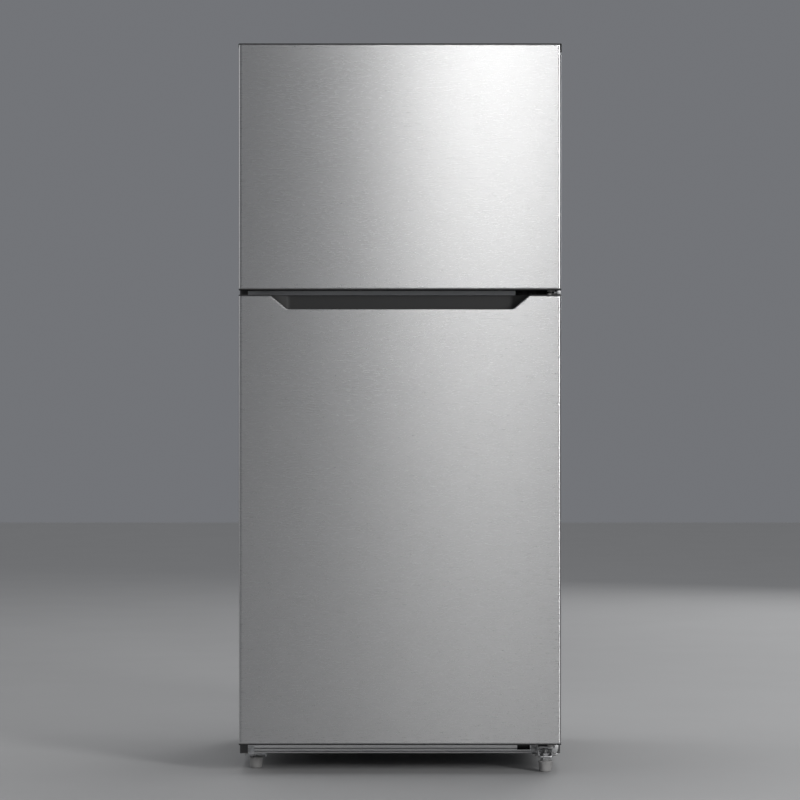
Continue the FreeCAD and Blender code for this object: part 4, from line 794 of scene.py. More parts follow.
def make_middle_hinge():
    """The black leaf across the split, its arm, and the bright pin with its washers."""
    name = "middle_hinge"
    low = box(name)[0]
    arm_low, arm_high = 1117.7, 1121.7
    leaf = Shape()
    outline = oblong((low[0], 1107.2), (357.0, 1132.2), 3.0)
    leaf.prism(outline, "y", FACE - 3.0, FACE - 0.05, 0.5)
    tongue = [(HINGE[0] + 10, FACE - 0.2), (HINGE[0] - 17, FACE - 0.2), (HINGE[0] - 17, FACE - 3.2),
              *arc((HINGE[0] - 17, FACE - 10.2), 7, 90, 0, 4), (HINGE[0] - 10, HINGE[1]),
              *arc(HINGE, 10, 180, 360, 14)[1:]]
    leaf.prism(tongue, "z", arm_low, arm_high, 0.5)
    leaf.make(name + "_leaf", "hinge_black", "cabinet", name)
    pin = Shape()
    profile = [(0, 1099.2), (3.2, 1099.2), (4, 1100.4), (4, 1115.4), (7.4, 1115.5), (7.6, 1117.7),
               (4, 1117.7), (4, 1121.7), (7.6, 1121.7), (7.4, 1123.9), (4, 1124.0), (4, 1139),
               (3.2, 1140.2), (0, 1140.2)]
    pin.turned(profile, (*HINGE, 0), "z", 28)
    pin.prism(oblong((HINGE[0] + 12, FRONT + 5), (374, FRONT + 18), 2.2), "z", 1115.2, 1124.2, 0.7)
    pin.slab((HINGE[0] + 7, FRONT + 10, arm_low + 0.3), (HINGE[0] + 13, HINGE[1] - 2, arm_high - 0.3), 0.4)
    pin.make(name + "_pin", "zinc", "cabinet")


def make_top_hinge():
    """The plate on the cabinet's top, drawn out to the pin above the freezer door."""
    name = "top_hinge"
    low, high = box(name)
    z = (1692.0, 1695.0)
    plate = Shape()
    outline = [*arc((290, -229.5), 4, 180, 90, 4), *arc((358, -229.5), 4, 90, 0, 4), (362, FACE + 10),
               (362, HINGE[1]), *arc(HINGE, 10, 0, -180, 14)[1:], (342, FACE - 6),
               *arc((334, FACE - 6), 8, 0, 90, 4)[1:-1], (334, FACE + 2.6),
               *arc((290, FACE + 6.6), 4, 270, 180, 4)]
    plate.prism(outline, "z", z[0] + 0.02, z[1], 0.4)
    plate.turned([(0, low[2]), (3.2, low[2]), (4, low[2] + 1.2), (4, z[0] + 1), (0, z[0] + 1)],
                 (*HINGE, 0), "z", 24)
    plate.turned([(0, z[1] - 0.4), (4.6, z[1] - 0.4), (4.6, z[1] + 0.1), (3.8, z[1] + 0.4),
                  (0, z[1] + 0.4)], (*HINGE, 0), "z", 24)
    plate.make(name + "_plate", "hinge_black", "cabinet", name)
    name = "top_hinge_cover"
    low, high = box(name)
    rows = []
    for grow, z in ((0, low[2]), (0, low[2] + 6), (0.4, low[2] + 9), (1.6, high[2] - 2.4),
                    (3.0, high[2] - 0.8), (5.2, high[2])):
        rows.append([(x, y, z) for x, y in inset(low, high, grow, 9 - grow * 0.6)])
    rows.append([(x, y, high[2]) for x, y in inset(low, high, 30, 3)])
    cover = Shape().grid(rows, wrap=True)
    cover.mesh.faces.new([v for v in list(cover.mesh.verts)[-24:]])
    cover.make(name + "_shell", "cap_grey", "cabinet", name, wall=1.6)


def make_bottom_hinge():
    """The plated bracket under the fridge door: leaf, sole with the pin, cheeks and the foot's seat."""
    name = "bottom_hinge"
    made = Shape()
    foot_x, foot_y = FOOT
    leaf = [(307.5, 59.5), (307.5, 44), (309, 38), (313, 34.6), (317, 34.2), (320.5, 37), (322, 40),
            (352, 40), (354, 36.5), (357, 34.4), (362, 34.4), (365.5, 37), (368.5, 44), (371.6, 52),
            (371.6, 59.5), (369, 61.8), (310, 61.8)]
    made.prism(leaf, "y", FACE - 4.0, FACE - 0.05, 0.6)
    for x in ((309.5, 320.0), (354.5, 366.5)):
        made.prism([*arc((FACE - 6.2, 37.2), 2.8, 180, 360, 6), (FACE - 3.4, 41.5), (FACE - 5.0, 42.6),
                    (FACE - 9.0, 38.5)], "x", *x, 0.8)
    made.prism([*arc((311, 48), 2.5, 180, 270, 3), *arc((319, 48), 2.5, 270, 360, 3), (321.5, 57.5),
                (308.5, 57.5)], "y", FACE - 6.0, FACE - 3.5, 0.7)
    sole = [(foot_x - 17, FACE - 2), (foot_x - 17, -340), *arc((foot_x - 11, -346), 6, 180, 270, 4)[1:],
            (HINGE[0] - 8, -360), *arc(HINGE, 10, 230, 360, 10), (362, FACE - 2)]
    made.prism(sole, "z", 58.0, 62.0, 0.5)
    for x in (foot_x - 17, foot_x + 14):
        cheek = [(FACE - 1, 34.2), (FACE - 1, 61.5), (-332, 61.5), *arc((-329, 54), 3.5, 180, 230, 4),
                 (-329.5, 42), *arc((-326.5, 37.7), 3.5, 180, 270, 4)]
        made.prism(cheek, "x", x + 0.1, x + 2.9, 0.5)
    made.prism(oblong((foot_x - 17, foot_y - 15), (foot_x + 17, FACE - 1), 6), "z", 34.0, 38.0, 0.7)
    made.slab((foot_x - 13, FACE - 8.5, 47.5), (foot_x + 13, FACE - 3.5, 50.0), 0.8)
    made.slab((foot_x - 13, FACE - 8.5, 53.5), (foot_x + 13, FACE - 3.5, 56.5), 0.8)
    made.turned([(0, 57), (9.2, 57), (9.2, 58), (9.2, 62), (8.2, 63.0), (4.2, 63.2), (4, 64), (4, 81.4),
                 (3.0, 82.8), (0, 82.8)], (*HINGE, 0), "z", 28)
    made.slab((307.5, FACE - 1, 37.0), (371.5, FACE + 59, 39.9), 0.5)
    made.turned([(5.1, 29.8), (11.0, 29.8), (11.9, 30.4), (11.9, 33.3), (11.2, 34.0), (5.1, 34.0)],
                (foot_x, foot_y, 0), "z", 6)
    made.turned([(5.1, 37.8), (8.6, 37.8), (9.4, 38.8), (9.4, 43.2), (8.6, 44.0), (5.1, 44.0)],
                (foot_x, foot_y, 0), "z", 6)
    made.make(name + "_bracket", "zinc", "cabinet", name)
    Shape().turned([(5.1, 26.5), (10.6, 26.5), (11.1, 27.0), (11.3, 29.4), (10.8, 29.8), (5.1, 29.8)],
                   (foot_x, foot_y, 0), "z", 40).make(name + "_collar", "dial_grey", "cabinet")


def make_hinge_screws():
    """The pan head screws of the three hinges."""
    made = Shape()
    for x, y in ((300, -279.5), (354, -279.5), (327, -241.5)):
        made.screw((x, y, 1695.0))
        made.turned([(0, 1683), (3, 1683), (3, 1695), (0, 1695)], (x, y, 0), "z", 12)
    black = Shape()
    for x in (280, 303, 326):
        black.screw((x, FACE - 3.0, 1119.7), "y", -1)
        black.turned([(0, FACE - 3), (3, FACE - 3), (3, FACE + 9), (0, FACE + 9)], (x, 0, 1119.7), "y", 12)
    black.make("hinge_screws_middle", "hinge_black", "cabinet")
    for x in (315, 340):
        made.screw((x, FACE - 4.0, 50.0), "y", -1)
        made.turned([(0, FACE - 4), (3, FACE - 4), (3, FACE + 9), (0, FACE + 9)], (x, 0, 50.0), "y", 12)
    made.make("hinge_screws_set", "zinc", "cabinet", "hinge_screws")


make_middle_hinge()
make_top_hinge()
make_bottom_hinge()
make_hinge_screws()


# --------------------------------------------------------------------------------- feet and rollers
def make_foot(name):
    """A levelling foot: a moulded six lobed foot on a threaded stem."""
    low, high = box(name)
    x, y = (low[0] + high[0]) / 2, (low[1] + high[1]) / 2
    foot = Shape()

    def lobes(angle, height):
        return 1 - 0.045 * (0.5 - 0.5 * math.cos(6 * angle)) if 6 < height < 23 else 1.0

    foot.turned([(0, 0), (10.4, 0), (11.6, 0.5), (13.2, 2.2), (13.9, 4.2), (14.1, 6.0), (14.4, 7.0),
                 (15.6, 20.0), (16.3, 22.0), (16.5, 23.6), (16.3, 25.2), (15.3, 26.0), (6.4, 26.0),
                 (6.0, 25.4), (0, 25.4)], (x, y, 0), "z", 72, lobes)
    foot.make(name + "_pad", "foot_grey", BODY_OF[name], name)
    stem = Shape()
    pitch, turns, count = 1.5, 18, 24
    rows = []
    for i in range(turns * count + 1):
        angle = 2 * math.pi * i / count
        base = 25.2 + pitch * i / count
        ring = []
        for radius, rise in ((3.9, 0.05), (4.3, 0.05), (4.95, 0.55), (4.95, 0.75), (4.3, 1.3), (3.9, 1.3)):
            ring.append((x + radius * math.cos(angle), y + radius * math.sin(angle),
                         min(base + rise, 53.7)))
        rows.append(ring)
    stem.grid(rows, wrap=True, ends=True)
    stem.turned([(0, 25.0), (4.25, 25.0), (4.25, 53.4), (3.6, 54.0), (0, 54.0)], (x, y, 0), "z", 24)
    stem.make(name + "_stem", "zinc", BODY_OF[name])


make_foot("front_foot_left")
make_foot("front_foot_right")


# ------------------------------------------------------------------------------ rollers and the back
def make_left_bracket():
    """The folded bracket over the left foot, with its strap and leaf at the front rail."""
    name = "left_foot_bracket"
    low, high = box(name)
    made = Shape()
    section = [(low[0], 31.0), (low[0] + 3, 31.0), (low[0] + 3, 36.0), (high[0] - 3, 36.0),
               (high[0] - 3, 31.0), (high[0], 31.0), *arc((high[0] - 3, 36.9), 3, 0, 90, 4),
               *arc((low[0] + 3, 36.9), 3, 90, 180, 4)]
    made.prism(section, "y", -295.5, high[1], 0.5)
    path = [(FACE - 1.5, 57.5), (FACE - 1.5, 38.2), (FACE + 0.3, 36.2), (-295, 36.2), (-295, 39.8),
            (FACE + 1.0, 39.8), (FACE - 0.1, 40.6), (FACE - 0.1, 57.5)]
    made.prism(path, "x", -356, -342, 0.3)
    x, y = -FOOT[0], -255.5
    made.turned([(5.1, 40.1), (9.2, 40.1), (9.8, 40.8), (9.8, 45), (9.2, 45.6), (5.1, 45.6)], (x, y, 0),
                "z", 6)
    made.make(name + "_fold", "galvanised", "cabinet", name)


def make_rollers():
    """The two rear rollers with their tyres, the forks and the headed axles."""
    for name in ("rear_roller_left", "rear_roller_right"):
        low, high = box(name)
        x, y, z = [(a + b) / 2 for a, b in zip(low, high)]
        wheel = Shape()
        w = 11.0
        profile = [(4.06, -w), (7.5, -w), (8, -w + 1.4), (13, -w + 2.6), (15.5, -w + 1.2), (16.5, -w),
                   (18.2, -w + 0.5), (19, -w + 2.2), (19, -1.6), (18.5, -1.0), (18.5, 1.0), (19, 1.6),
                   (19, w - 2.2), (18.2, w - 0.5), (16.5, w), (15.5, w - 1.2), (13, w - 2.6), (8, w - 1.4),
                   (7.5, w), (4.06, w)]
        wheel.turned(profile, (x, y, z), "x", 48)
        wheel.make(name + "_wheel", "roller_black", BODY_OF[name], name)
    forks, axles = Shape(), Shape()
    for hand in (-1, 1):
        x, y = hand * 330.0, 322.5
        for side in (-1, 1):
            inner, outer = x + side * 11.7, x + side * 14.6
            cheek = [(y - 13, 39.9), (y - 13, 30), (y - 6.5, 12), *arc((y, 16), 7.6, 205, 335, 8),
                     (y + 6.5, 12), (y + 13, 30), (y + 13, 39.9)]
            forks.prism(cheek, "x", min(inner, outer), max(inner, outer), 0.4)
        forks.slab((x - 14.6, y - 13, 38.3), (x + 14.6, y + 13, 39.95), 0.4)
        axles.turned([(0, -14.6), (3.4, -14.6), (4, -14.0), (4, 14.0), (3.4, 14.6), (0, 14.6)], (x, y, 19),
                     "x", 24)
    forks.make("roller_forks_fold", "galvanised", "cabinet", "roller_forks")
    axles.make("roller_axles_set", "zinc", "cabinet", "roller_axles")


def make_back_panel():
    """The rear sheet with three pressed beads."""
    name = "back_panel"
    low, high = box(name)
    face = 374.5
    centres = [-(376 - 90) * 0.7, 0, (376 - 90) * 0.7]
    shape = [(-13, 0), (-10, 0), (-8.6, 0.4), (-6.6, 2.0), (-4.6, 2.8), (0, 3.0), (4.6, 2.8), (6.6, 2.0),
             (8.6, 0.4), (10, 0), (13, 0)]
    beads = [c + a for c in centres for a, h in shape]
    xs = [low[0] + 0.2, low[0] + 30, *beads, high[0] - 30, high[0] - 0.2]
    deep = [0, 0, *[h for c in centres for a, h in shape], 0, 0]
    ends = [(low[2] + 0.2, 0), (412, 0), (414, 0.15), (418, 0.7), (424, 1), (760, 1), (1200, 1), (1530, 1),
            (1536, 0.7), (1540, 0.15), (1542, 0), (high[2] - 0.2, 0)]
    rows = [[(x, face + h * s, z) for x, h in zip(xs, deep)] for z, s in ends]
    Shape().grid(rows).make(name + "_sheet", "galvanised", "cabinet", name, wall=1.1, fix=False, flip=True)


make_left_bracket()
make_rollers()
make_back_panel()


# -------------------------------------------------------------------------------- what repeats
class Pattern(Graph):
    """A geometry tree with named inputs whose result becomes one plain mesh."""

    def __init__(self, name, **sizes):
        tree = bpy.data.node_groups.new(name, "GeometryNodeTree")
        super().__init__(tree)
        self.name = name
        self.values = {}
        kinds = {float: "NodeSocketFloat", int: "NodeSocketInt", tuple: "NodeSocketVector"}
        for key, value in {**sizes, "finish": None}.items():
            kind = "NodeSocketMaterial" if value is None else kinds[type(value)]
            socket = tree.interface.new_socket(key, in_out="INPUT", socket_type=kind)
            self.values[socket.identifier] = (key, value)
        tree.interface.new_socket("Geometry", in_out="OUTPUT", socket_type="NodeSocketGeometry")
        self.inputs = tree.nodes.new("NodeGroupInput")
        self.output = tree.nodes.new("NodeGroupOutput")

    def size(self, key):
        return Wire(self, self.inputs.outputs[key])

    def row(self, start, step, count):
        return self.node("GeometryNodeMeshLine", {"mode": "OFFSET"},
                         {"Count": count, "Start Location": start, "Offset": step})

    def placed(self, points, instance, turn=(0, 0, 0)):
        return self.node("GeometryNodeInstanceOnPoints", {},
                         {"Points": points, "Instance": instance, "Rotation": turn})

    def finish(self, geometry, name, slot, body, *nodes, sharp=32):
        """Close the tree, take its result as a plain mesh and settle that on its body."""
        whole = self.node("GeometryNodeRealizeInstances", {}, {"Geometry": geometry})
        done = self.node("GeometryNodeSetMaterial", {},
                         {"Geometry": whole, "Material": self.size("finish")})
        self.tree.links.new(done.socket, self.output.inputs[0])
        base = bpy.data.objects.new(name + "_tree", bpy.data.meshes.new(name + "_tree"))
        bpy.context.scene.collection.objects.link(base)
        modifier = base.modifiers.new("pattern", "NODES")
        modifier.node_group = self.tree
        for key, (_, value) in self.values.items():
            modifier[key] = FINISH[slot] if value is None else value
        seen = base.evaluated_get(bpy.context.evaluated_depsgraph_get())
        data = bpy.data.meshes.new_from_object(seen)
        bpy.data.objects.remove(base)
        for face in data.polygons:
            face.use_smooth = True
        data.set_sharp_from_angle(angle=math.radians(sharp))
        made = bpy.data.objects.new(name, data)
        bpy.context.scene.collection.objects.link(made)
        return settle(made, slot, body, *nodes)


def add_join(graph, *parts):
    """Several geometries in one."""
    join = graph.tree.nodes.new("GeometryNodeJoinGeometry")
    for part in parts:
        graph.tree.links.new(part.socket, join.inputs[0])
    return Wire(graph, join.outputs[0])


def make_back_screws():
    """The washer head screws round the rear sheet and the machine cover."""
    fix = Pattern("rear_screw_rows", head=0.0042, crown=0.0037, high=0.0026, washer=0.0062, thick=0.0009,
                  left=(-0.366, 0.3758, 0.285), right=(0.366, 0.3758, 0.285), rise=(0.0, 0.0, 0.1721),
                  count=9, across=(-0.3, 0.3758, 1.682), reach=(0.15, 0.0, 0.0), along=5)
    washer = fix.node("GeometryNodeMeshCylinder", {},
                      {"Vertices": 24, "Radius": fix.size("washer"), "Depth": fix.size("thick")})
    head = fix.node("GeometryNodeMeshCone", {}, {"Vertices": 6, "Radius Top": fix.size("crown"),
                                                 "Radius Bottom": fix.size("head"),
                                                 "Depth": fix.size("high")})
    screw = add_join(fix, washer, head)
    turn = (-math.pi / 2, 0, 0)
    runs = (("left", "rise", "count"), ("right", "rise", "count"), ("across", "reach", "along"))
    rows = [fix.placed(fix.row(*[fix.size(key) for key in run]), screw, turn) for run in runs]
    fix.finish(add_join(fix, *rows), "back_panel_screws", "zinc", "cabinet")


def make_cover_slats():
    """Sloping slats behind the openings of the machine cover."""
    half, count, rows = 376 - 106, 6, 9
    cell, pitch = 2 * half / count, (222 - 86) / (rows - 1)
    slats = Pattern("cover_slats", blade=(0.080, 0.0012, 0.0105), step=(0.0, 0.0, pitch / 1000), rows=rows,
                    tilt=(math.radians(-38), 0.0, 0.0))
    blade = slats.node("GeometryNodeMeshCube", {}, {"Size": slats.size("blade")})
    columns = []
    for column in range(count):
        start = ((-half + column * cell + cell / 2) / 1000, 0.3778, (40 + 54 + 3.2) / 1000)
        line = slats.row(start, slats.size("step"), slats.size("rows"))
        columns.append(slats.placed(line, blade, slats.size("tilt")))
    slats.finish(add_join(slats, *columns), "machine_cover_slats", "shell_black", "cabinet")


make_back_screws()
make_cover_slats()


# ----------------------------------------------------------------------------------------- inside
SHELL_WALL = 1.5
ROOM_HALF, ROOM_BACK = 324.0, 311.3
FRIDGE_ROOM, FREEZER_ROOM = (97.0, 1085.7), (1153.7, 1640.0)
COVER_Z, FRIDGE_SHELVES, FREEZER_SHELF = 308.0, (554.6, 793.1), 1396.85
SHELF_HALF, SHELF_FRONT = 319.6, -190.5


def make_liner(name, low, high, back, shelves, shelf_back, hump=None):
    """A thermoformed room: rounded corners, a rolled lip round the mouth and ledges for its shelves."""
    lip_low, lip_high = box(name)
    r = 14.0
    rows = []

    def ring(y, grow, floor=None, radius=r):
        z = low[1] if floor is None else floor
        rows.append([(x, y, z2) for x, z2 in inset((low[0], z), high, grow, radius)])

    lip = inset((lip_low[0], lip_low[2]), (lip_high[0], lip_high[2]), 0.1, 1.0)
    rows.append([(x, FACE + 0.1, z) for x, z in lip])
    ring(FACE + 0.1, -1.4, radius=8)
    ring(FACE + 0.5, -0.5, radius=10)
    ring(FACE + 2.0, 0)
    if hump:
        face, top = hump
        ring(face - 14, 0)
        for a in (30, 60, 90):
            ring(face - 14 + 14 * math.sin(math.radians(a)), 0,
                 low[1] + 14 * (1 - math.cos(math.radians(a))))
        ring(face, 0, top - 14)
        for a in (30, 60, 90):
            ring(face + 14 * (1 - math.cos(math.radians(a))), 0, top - 14 + 14 * math.sin(math.radians(a)))
        floor = top
    else:
        floor = None
        ring((FACE + back) / 2, 0)
    for a in (0, 25, 50, 75, 90):
        t = math.radians(a)
        ring(back - r + r * math.sin(t), r * (1 - math.cos(t)), floor, r * (0.35 + 0.65 * math.cos(t)))
    shape = Shape().grid(rows, wrap=True)
    shape.mesh.faces.new(list(shape.mesh.verts)[-len(rows[0]):])
    shape.make(name + "_shell", "liner_white", "cabinet", name, wall=SHELL_WALL, flip=True)
    ribs = Shape()
    for z in shelves:
        for hand in (-1, 1):
            wall = hand * high[0]
            section = [(wall + hand * 0.6, z - 8.4), (wall - hand * 2.5, z - 7.6),
                       (wall - hand * 3.8, z - 5.5), (wall - hand * 3.8, z - 1.4),
                       (wall - hand * 3.2, z - 0.1), (wall + hand * 0.6, z - 0.1)]
            ribs.prism(section, "y", -180, shelf_back, 1.0)
    ribs.make(name + "_ledges", "liner_white", "cabinet")


def make_liners():
    """The fridge's room with the machine room's hump at its foot, and the freezer's room."""
    make_liner("fridge_liner", (-ROOM_HALF, FRIDGE_ROOM[0]), (ROOM_HALF, FRIDGE_ROOM[1]), ROOM_BACK,
               (COVER_Z, *FRIDGE_SHELVES), 285.0, (120.5, 304.0))
    make_liner("freezer_liner", (-ROOM_HALF, FREEZER_ROOM[0]), (ROOM_HALF, FREEZER_ROOM[1]), ROOM_BACK,
               (FREEZER_SHELF,), 209.0)


def band(outer, inner, z, section):
    """Rows for a frame in the level plane whose section runs from its outer to its inner edge."""
    rows = []
    for share, height, radius in section:
        low = [a + (b - a) * share for a, b in zip(outer[0], inner[0])]
        high = [a + (b - a) * share for a, b in zip(outer[1], inner[1])]
        rows.append([(x, y, z + height) for x, y in oblong(low, high, radius, 4)])
    return rows


def make_shelves():
    """Shelf rims with a rounded nose, ribs and a bonded glass pane each."""
    frames, panes = Shape(), Shape()
    section = [(0, 3, 7), (0, 12.5, 7), (0.1, 15, 6.6), (0.3, 16, 6), (0.48, 16, 5), (0.54, 15.6, 4.6),
               (0.55, 11.2, 4.4), (0.9, 11.0, 3.2), (1.0, 10.4, 3), (1.0, 1.2, 3), (0.9, 0.1, 3.4),
               (0.12, 0.1, 6.6)]

    def shelf(shape, x, front, back, z):
        outer = ((-x, front), (x, back))
        inner = ((-x + 14, front + 14), (x - 14, back - 14))
        shape.grid(band(outer, inner, z, section), wrap=True, round_trip=True)
        panes.prism(oblong((-x + 7.8, front + 7.8), (x - 7.8, back - 7.8), 5), "z", z + 11.2, z + 15.0, 0.5)
        for at in (-0.5, 0.5):
            shape.slab((x * at - 4, front + 13, z + 4), (x * at + 4, back - 13, z + 11.0), 1.0)

    for z, back in (*((z, 285.3) for z in FRIDGE_SHELVES), (FREEZER_SHELF, 209.3)):
        shelf(frames, SHELF_HALF, SHELF_FRONT, back, z)
    cover = Shape()
    shelf(cover, SHELF_HALF, SHELF_FRONT, 285.3, COVER_Z)
    cover.slab((-1.4, -188, 297), (1.4, 100, 308.5), 0.5)
    cover.slab((-10, -188, 298), (10, -169, 309.5), 1.2)
    frames.make("shelf_frames_moulding", "liner_white", "cabinet", "shelf_frames")
    cover.make("crisper_cover_moulding", "liner_white", "cabinet", "crisper_cover")
    panes.make("shelf_glass_panes", "shelf_glass", "cabinet", "shelf_glass")


def tub(shape, low, high, wall, corner, lip=4.0, draft=3.0, floor=2.6, steps=4):
    """An open tray with rounded corners, drawn in towards its floor, with a bead round its rim."""
    rows = []

    def ring(grow, z, radius):
        rows.append([(x, y, z) for x, y in inset(low, high, grow, radius, steps)])

    ring(lip + draft + 6, low[2], corner * 0.5)
    ring(lip + draft + 2, low[2] + 0.4, corner * 0.8)
    ring(lip + draft, low[2] + 3.5, corner)
    ring(lip, high[2] - 9, corner)
    ring(lip, high[2] - 6.5, corner)
    ring(lip * 0.4, high[2] - 5.2, corner + 1)
    ring(0, high[2] - 3.4, corner + 2)
    ring(0, high[2] - 1.2, corner + 2)
    ring(1.0, high[2], corner + 1.5)
    ring(lip + wall - 1, high[2], corner - 0.5)
    ring(lip + wall, high[2] - 1.2, corner - 1)
    ring(lip + draft + wall, low[2] + 5.0, corner - 1.5)
    ring(lip + draft + wall + 3, low[2] + floor, corner * 0.6)
    shape.grid(rows, wrap=True, ends=True)
    return shape


def make_crispers():
    """The two clear drawers, each with a moulded pull and ribs along its front."""
    for hand in ("left", "right"):
        name = f"crisper_drawer_{hand}"
        low, high = box(name)
        face = -167.5
        drawer = tub(Shape(), (low[0], face - 2.5, low[2]), (high[0], high[1], high[2]), 2.4, 12)
        middle = (low[0] + high[0]) / 2
        pull = [(face - 1.0, high[2] - 26), (face - 7.0, high[2] - 24.5), (low[1] + 0.4, high[2] - 20),
                (low[1] + 0.4, high[2] - 3), (low[1] + 2.0, high[2] - 0.3), (face - 1.0, high[2] - 0.3),
                (face - 1.0, high[2] - 3.0), (low[1] + 3.2, high[2] - 3.2), (low[1] + 3.2, high[2] - 19),
                (face - 1.0, high[2] - 23)]
        drawer.prism(pull, "x", middle - 90, middle + 90, 0.5)
        for i in range(3):
            z = low[2] + 30 + i * 26
            drawer.prism([(face + 1.6, z - 4), (face - 0.6, z - 2.6), (face - 1.1, z),
                          (face - 0.6, z + 2.6), (face + 1.6, z + 4)], "x", low[0] + 26, high[0] - 26, 0.6)
        drawer.make(name + "_moulding", "clear_plastic", BODY_OF[name], name)


def make_bins():
    """The door bins: clear trays with a beaded rim, front ribs and a lug at each side."""
    stacks = {"fridge": ((136.0, 120), (503.5, 85), (779.1, 85)), "freezer": ((1192.7, 90), (1392.5, 90))}
    for name, bins in stacks.items():
        node = f"{name}_door_bins"
        low, high = box(node)
        shape = Shape()
        for start, tall in bins:
            tub(shape, (low[0] + 2.2, low[1] + 0.3, start), (high[0] - 2.2, high[1], start + tall), 2.4,
                10, 2.6, 2.0)
            for i in range(3):
                z = start + tall * (0.3 + 0.16 * i)
                back = high[1] - 3.6
                shape.prism([(back - 1.6, z - 3), (back + 0.2, z - 1.8), (back + 0.7, z),
                             (back + 0.2, z + 1.8), (back - 1.6, z + 3)], "x", low[0] + 24, high[0] - 24,
                            0.5)
            for side in (low[0], high[0]):
                x = sorted((side, side + (6.0 if side < 0 else -6.0)))
                shape.slab((x[0], low[1] + 14, start + 20), (x[1], low[1] + 34, start + 50), 1.2)
        shape.make(f"{node}_mouldings", "clear_plastic", f"{name}_door", node)


def make_door_liners():
    """The doors' white inner panels with their raised dyke, and the magnetic gaskets."""
    for name, room in (("fridge", FRIDGE_ROOM), ("freezer", FREEZER_ROOM)):
        node = f"{name}_door_liner"
        low, high = box(node)
        base, top = BACK + 3.0, high[1]
        z = (room[0] + 13, room[1] - 13)
        rows = []

        def ring(x, grow, y, radius):
            rows.append([(a, y, b) for a, b in oblong((-x, z[0] - grow), (x, z[1] + grow), radius)])

        edge = z[0] - low[2]
        for by, y in ((0.2, base - 2.6), (0.2, base - 0.5), (0.8, base)):
            rows.append([(a, y, b) for a, b in inset((low[0], low[2]), (high[0], high[2]), by, 3)])
        ring(329.0, min(18.0, edge - 2), base, 20)
        ring(327.5, min(16.5, edge - 3), base - 2.6, 19)
        ring(318.0, 7.0, base - 2.6, 18)
        ring(315.0, 4.0, base - 1.5, 17)
        for x, grow, y, radius in ((311.5, 0.5, base + 2, 16), (309.5, -1.5, base + 20, 15),
                                   (308.5, -2.5, top - 6, 15), (307.0, -4.0, top - 2, 14),
                                   (304.0, -7.0, top, 12), (297.0, -14.0, top, 9),
                                   (294.0, -17.0, top - 2, 8), (292.5, -18.5, top - 6, 7),
                                   (289.8, -21.2, base + 8, 6), (288.0, -23.0, base + 1, 5),
                                   (284.0, -27.0, base + 0.05, 4)):
            ring(x, grow, y, radius)
        shape = Shape().grid(rows, wrap=True)
        shape.mesh.faces.new(list(shape.mesh.verts)[-len(rows[0]):])
        shape.make(f"{node}_panel", "liner_white", f"{name}_door", node, wall=SHELL_WALL, fix=False,
                   towards=(0, 1, 0))
        node = f"{name}_door_gasket"
        low, high = box(node)
        section = [(0.0, 4.6), (0.6, 2.8), (3.4, 2.2), (4.4, 0.0), (15.0, 0.0), (16.0, 2.2), (19.4, 3.0),
                   (20.0, 4.6), (18.4, 5.4), (19.8, 6.6), (19.6, 9.2), (18.6, 9.7), (1.8, 9.7), (0.6, 9.2),
                   (0.4, 6.6), (1.8, 5.4)]
        rim = (low[0], low[2]), (high[0], high[2])
        rows = [[(a, low[1] + y, b) for a, b in inset(*rim, d, max(0.6, 6 - d * 0.25), 4)]
                for d, y in section]
        strip = Shape().grid(rows, wrap=True, round_trip=True)
        strip.make(f"{node}_strip", "gasket_grey", f"{name}_door", node, sharp=25)


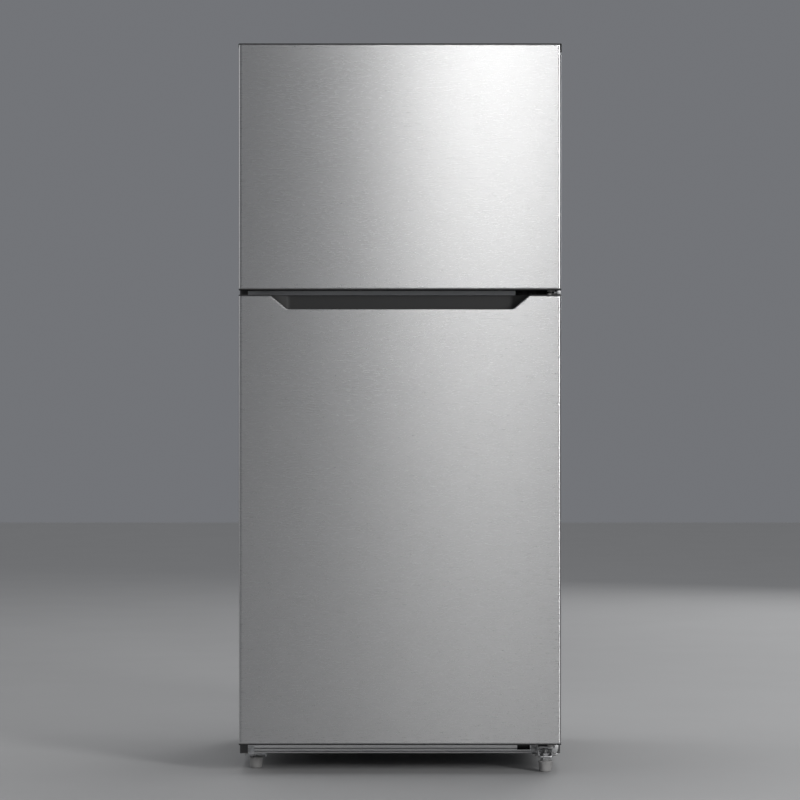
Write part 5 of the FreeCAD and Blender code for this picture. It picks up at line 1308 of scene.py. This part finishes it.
def make_controls():
    """The control housing with its dial and lens, and the freezer's air dial."""
    low, high = box("control_box")
    hull = Shape()
    r = 12
    section = [(low[1] + 2, high[2]), (low[1], high[2] - 2),
               *arc((low[1] + r, low[2] + r), r, 180, 270, 6), (high[1] - 24, low[2]),
               *arc((high[1] - 24, low[2] + 24), 24, 270, 330, 5), (high[1], high[2] - 2),
               (high[1], high[2])]
    hull.prism(section, "x", low[0], high[0], 2.2, 3)
    cx, cz = -85.0, 1062.7
    hull.turned([(19.5, 0.6), (19.5, -0.7), (20.3, -1.2), (22.6, -1.0), (23.4, 0.6)], (cx, low[1], cz),
                "y", 48)
    lens_low, lens_high = box("light_lens")
    hull.prism([(lens_low[0] - 3, lens_low[1] - 3), (lens_high[0] + 3, lens_low[1] - 3),
                (lens_high[0] + 3, lens_high[1] + 3), (lens_low[0] - 3, lens_high[1] + 3)], "z",
               low[2] - 1.2, low[2] + 1, 0.5)
    hull.make("control_box_housing", "liner_white", "cabinet", "control_box")
    lens = Shape()
    seat = low[2]
    steps = ((0.4, seat + 1.5), (0.4, seat - 2.4), (1.2, seat - 4.4), (3.5, lens_low[2] + 0.2),
             (8, lens_low[2]))
    rows = [[(x, y, z) for x, y in inset(lens_low, lens_high, by, 5)] for by, z in steps]
    lens.grid(rows, wrap=True, ends=True)
    for i in range(14):
        x = lens_low[0] + 14 + i * (lens_high[0] - lens_low[0] - 28) / 13
        lens.slab((x - 1.2, lens_low[1] + 8, lens_low[2]),
                  (x + 1.2, lens_high[1] - 8, lens_low[2] + 1.4), 0.4, 1)
    lens.make("light_lens_cover", "lens", "cabinet", "light_lens")
    for name in ("temperature_dial", "freezer_dial"):
        low, high = box(name)
        x, z = (low[0] + high[0]) / 2, (low[2] + high[2]) / 2
        front = low[1]

        def fluted(angle, height):
            return 1 + (0.012 * math.cos(24 * angle) if 5.5 < height < 15 else 0)

        knob = Shape()
        knob.turned([(0, 5.2), (10, 5.2), (15, 5.6), (16.2, 6.4), (16.8, 8), (16.8, 15), (16.0, 16.9),
                     (3, 17), (3, 28.9), (0, 28.9)], (x, front, z), "y", 96, fluted)
        knob.prism([(x - 3.0, z - 13.2), *arc((x, z - 13.2), 3.0, 180, 360, 6)[1:-1], (x + 3.0, z - 13.2),
                    (x + 3.0, z + 13.2), *arc((x, z + 13.2), 3.0, 0, 180, 6)[1:-1], (x - 3.0, z + 13.2)],
                   "y", front + 0.1, front + 5.8, 0.9)
        knob.make(name + "_knob", "dial_grey", BODY_OF[name], name)


DUCT_LOW = 324.0


def make_ducts():
    """The fridge's air duct and the freezer's rear cover, with their vents."""
    low, high = box("fridge_air_duct")
    duct = Shape()
    span = (FRIDGE_ROOM[1] - DUCT_LOW - 140) / 3.4
    vents = [DUCT_LOW + 60 + i * span for i in range(4)]
    zs = [low[2], *[v for z in vents for v in (z, z + 12)], high[2]]
    front = low[1]
    columns = [(low[0], high[1]), (low[0], front + 8), (low[0] + 2.5, front + 2.5), (low[0] + 8, front),
               (-61, front), (-8, front), (8, front), (61, front), (high[0] - 8, front),
               (high[0] - 2.5, front + 2.5), (high[0], front + 8), (high[0], high[1])]
    rows = [[(x, y, z) for x, y in columns] for z in zs]
    duct.grid(rows, skip=lambda k, i: k % 2 == 1 and i in (4, 6))
    duct.make("fridge_air_duct_cover", "liner_white", "cabinet", "fridge_air_duct", wall=1.8)
    blades = Pattern("duct_slats", blade=(0.0536, 0.0012, 0.0128), step=(0.0, 0.0, span / 1000), rows=4,
                     tilt=(math.radians(32), 0.0, 0.0))
    blade = blades.node("GeometryNodeMeshCube", {}, {"Size": blades.size("blade")})
    made = []
    for x in (-34.5, 34.5):
        start = (x / 1000, (front + 5.0) / 1000, (DUCT_LOW + 66) / 1000)
        line = blades.row(start, blades.size("step"), blades.size("rows"))
        made.append(blades.placed(line, blade, blades.size("tilt")))
    blades.finish(add_join(blades, *made), "fridge_air_duct_slats", "liner_white", "cabinet")
    low, high = box("freezer_back_cover")
    roof = high[2]
    slots = [(roof - 190 + i * 18, roof - 190 + i * 18 + 7) for i in range(6)]
    inner = [-284 + i * (568 - 30) / 11 for i in range(12)]
    xs = sorted([low[0] + 0.1, high[0] - 0.1, -48, 48] + [v for a in inner for v in (a, a + 30)])
    zs = sorted([low[2] + 0.1, roof - 0.1, low[2] + 14, low[2] + 26] + [v for s in slots for v in s])
    rows = [[(x, low[1] + 0.1, z) for x in xs] for z in zs]

    def skip(k, i):
        z, x = (zs[k] + zs[k + 1]) / 2, (xs[i] + xs[i + 1]) / 2
        if any(a < z < b for a, b in slots):
            return abs(x) < 48
        return low[2] + 14 < z < low[2] + 26 and any(a < x < a + 30 for a in inner)

    Shape().grid(rows, skip=skip).make("freezer_back_cover_panel", "liner_white", "cabinet",
                                       "freezer_back_cover", wall=2.4, fix=False)


make_liners()
make_shelves()
make_crispers()
make_bins()
make_door_liners()
make_controls()
make_ducts()
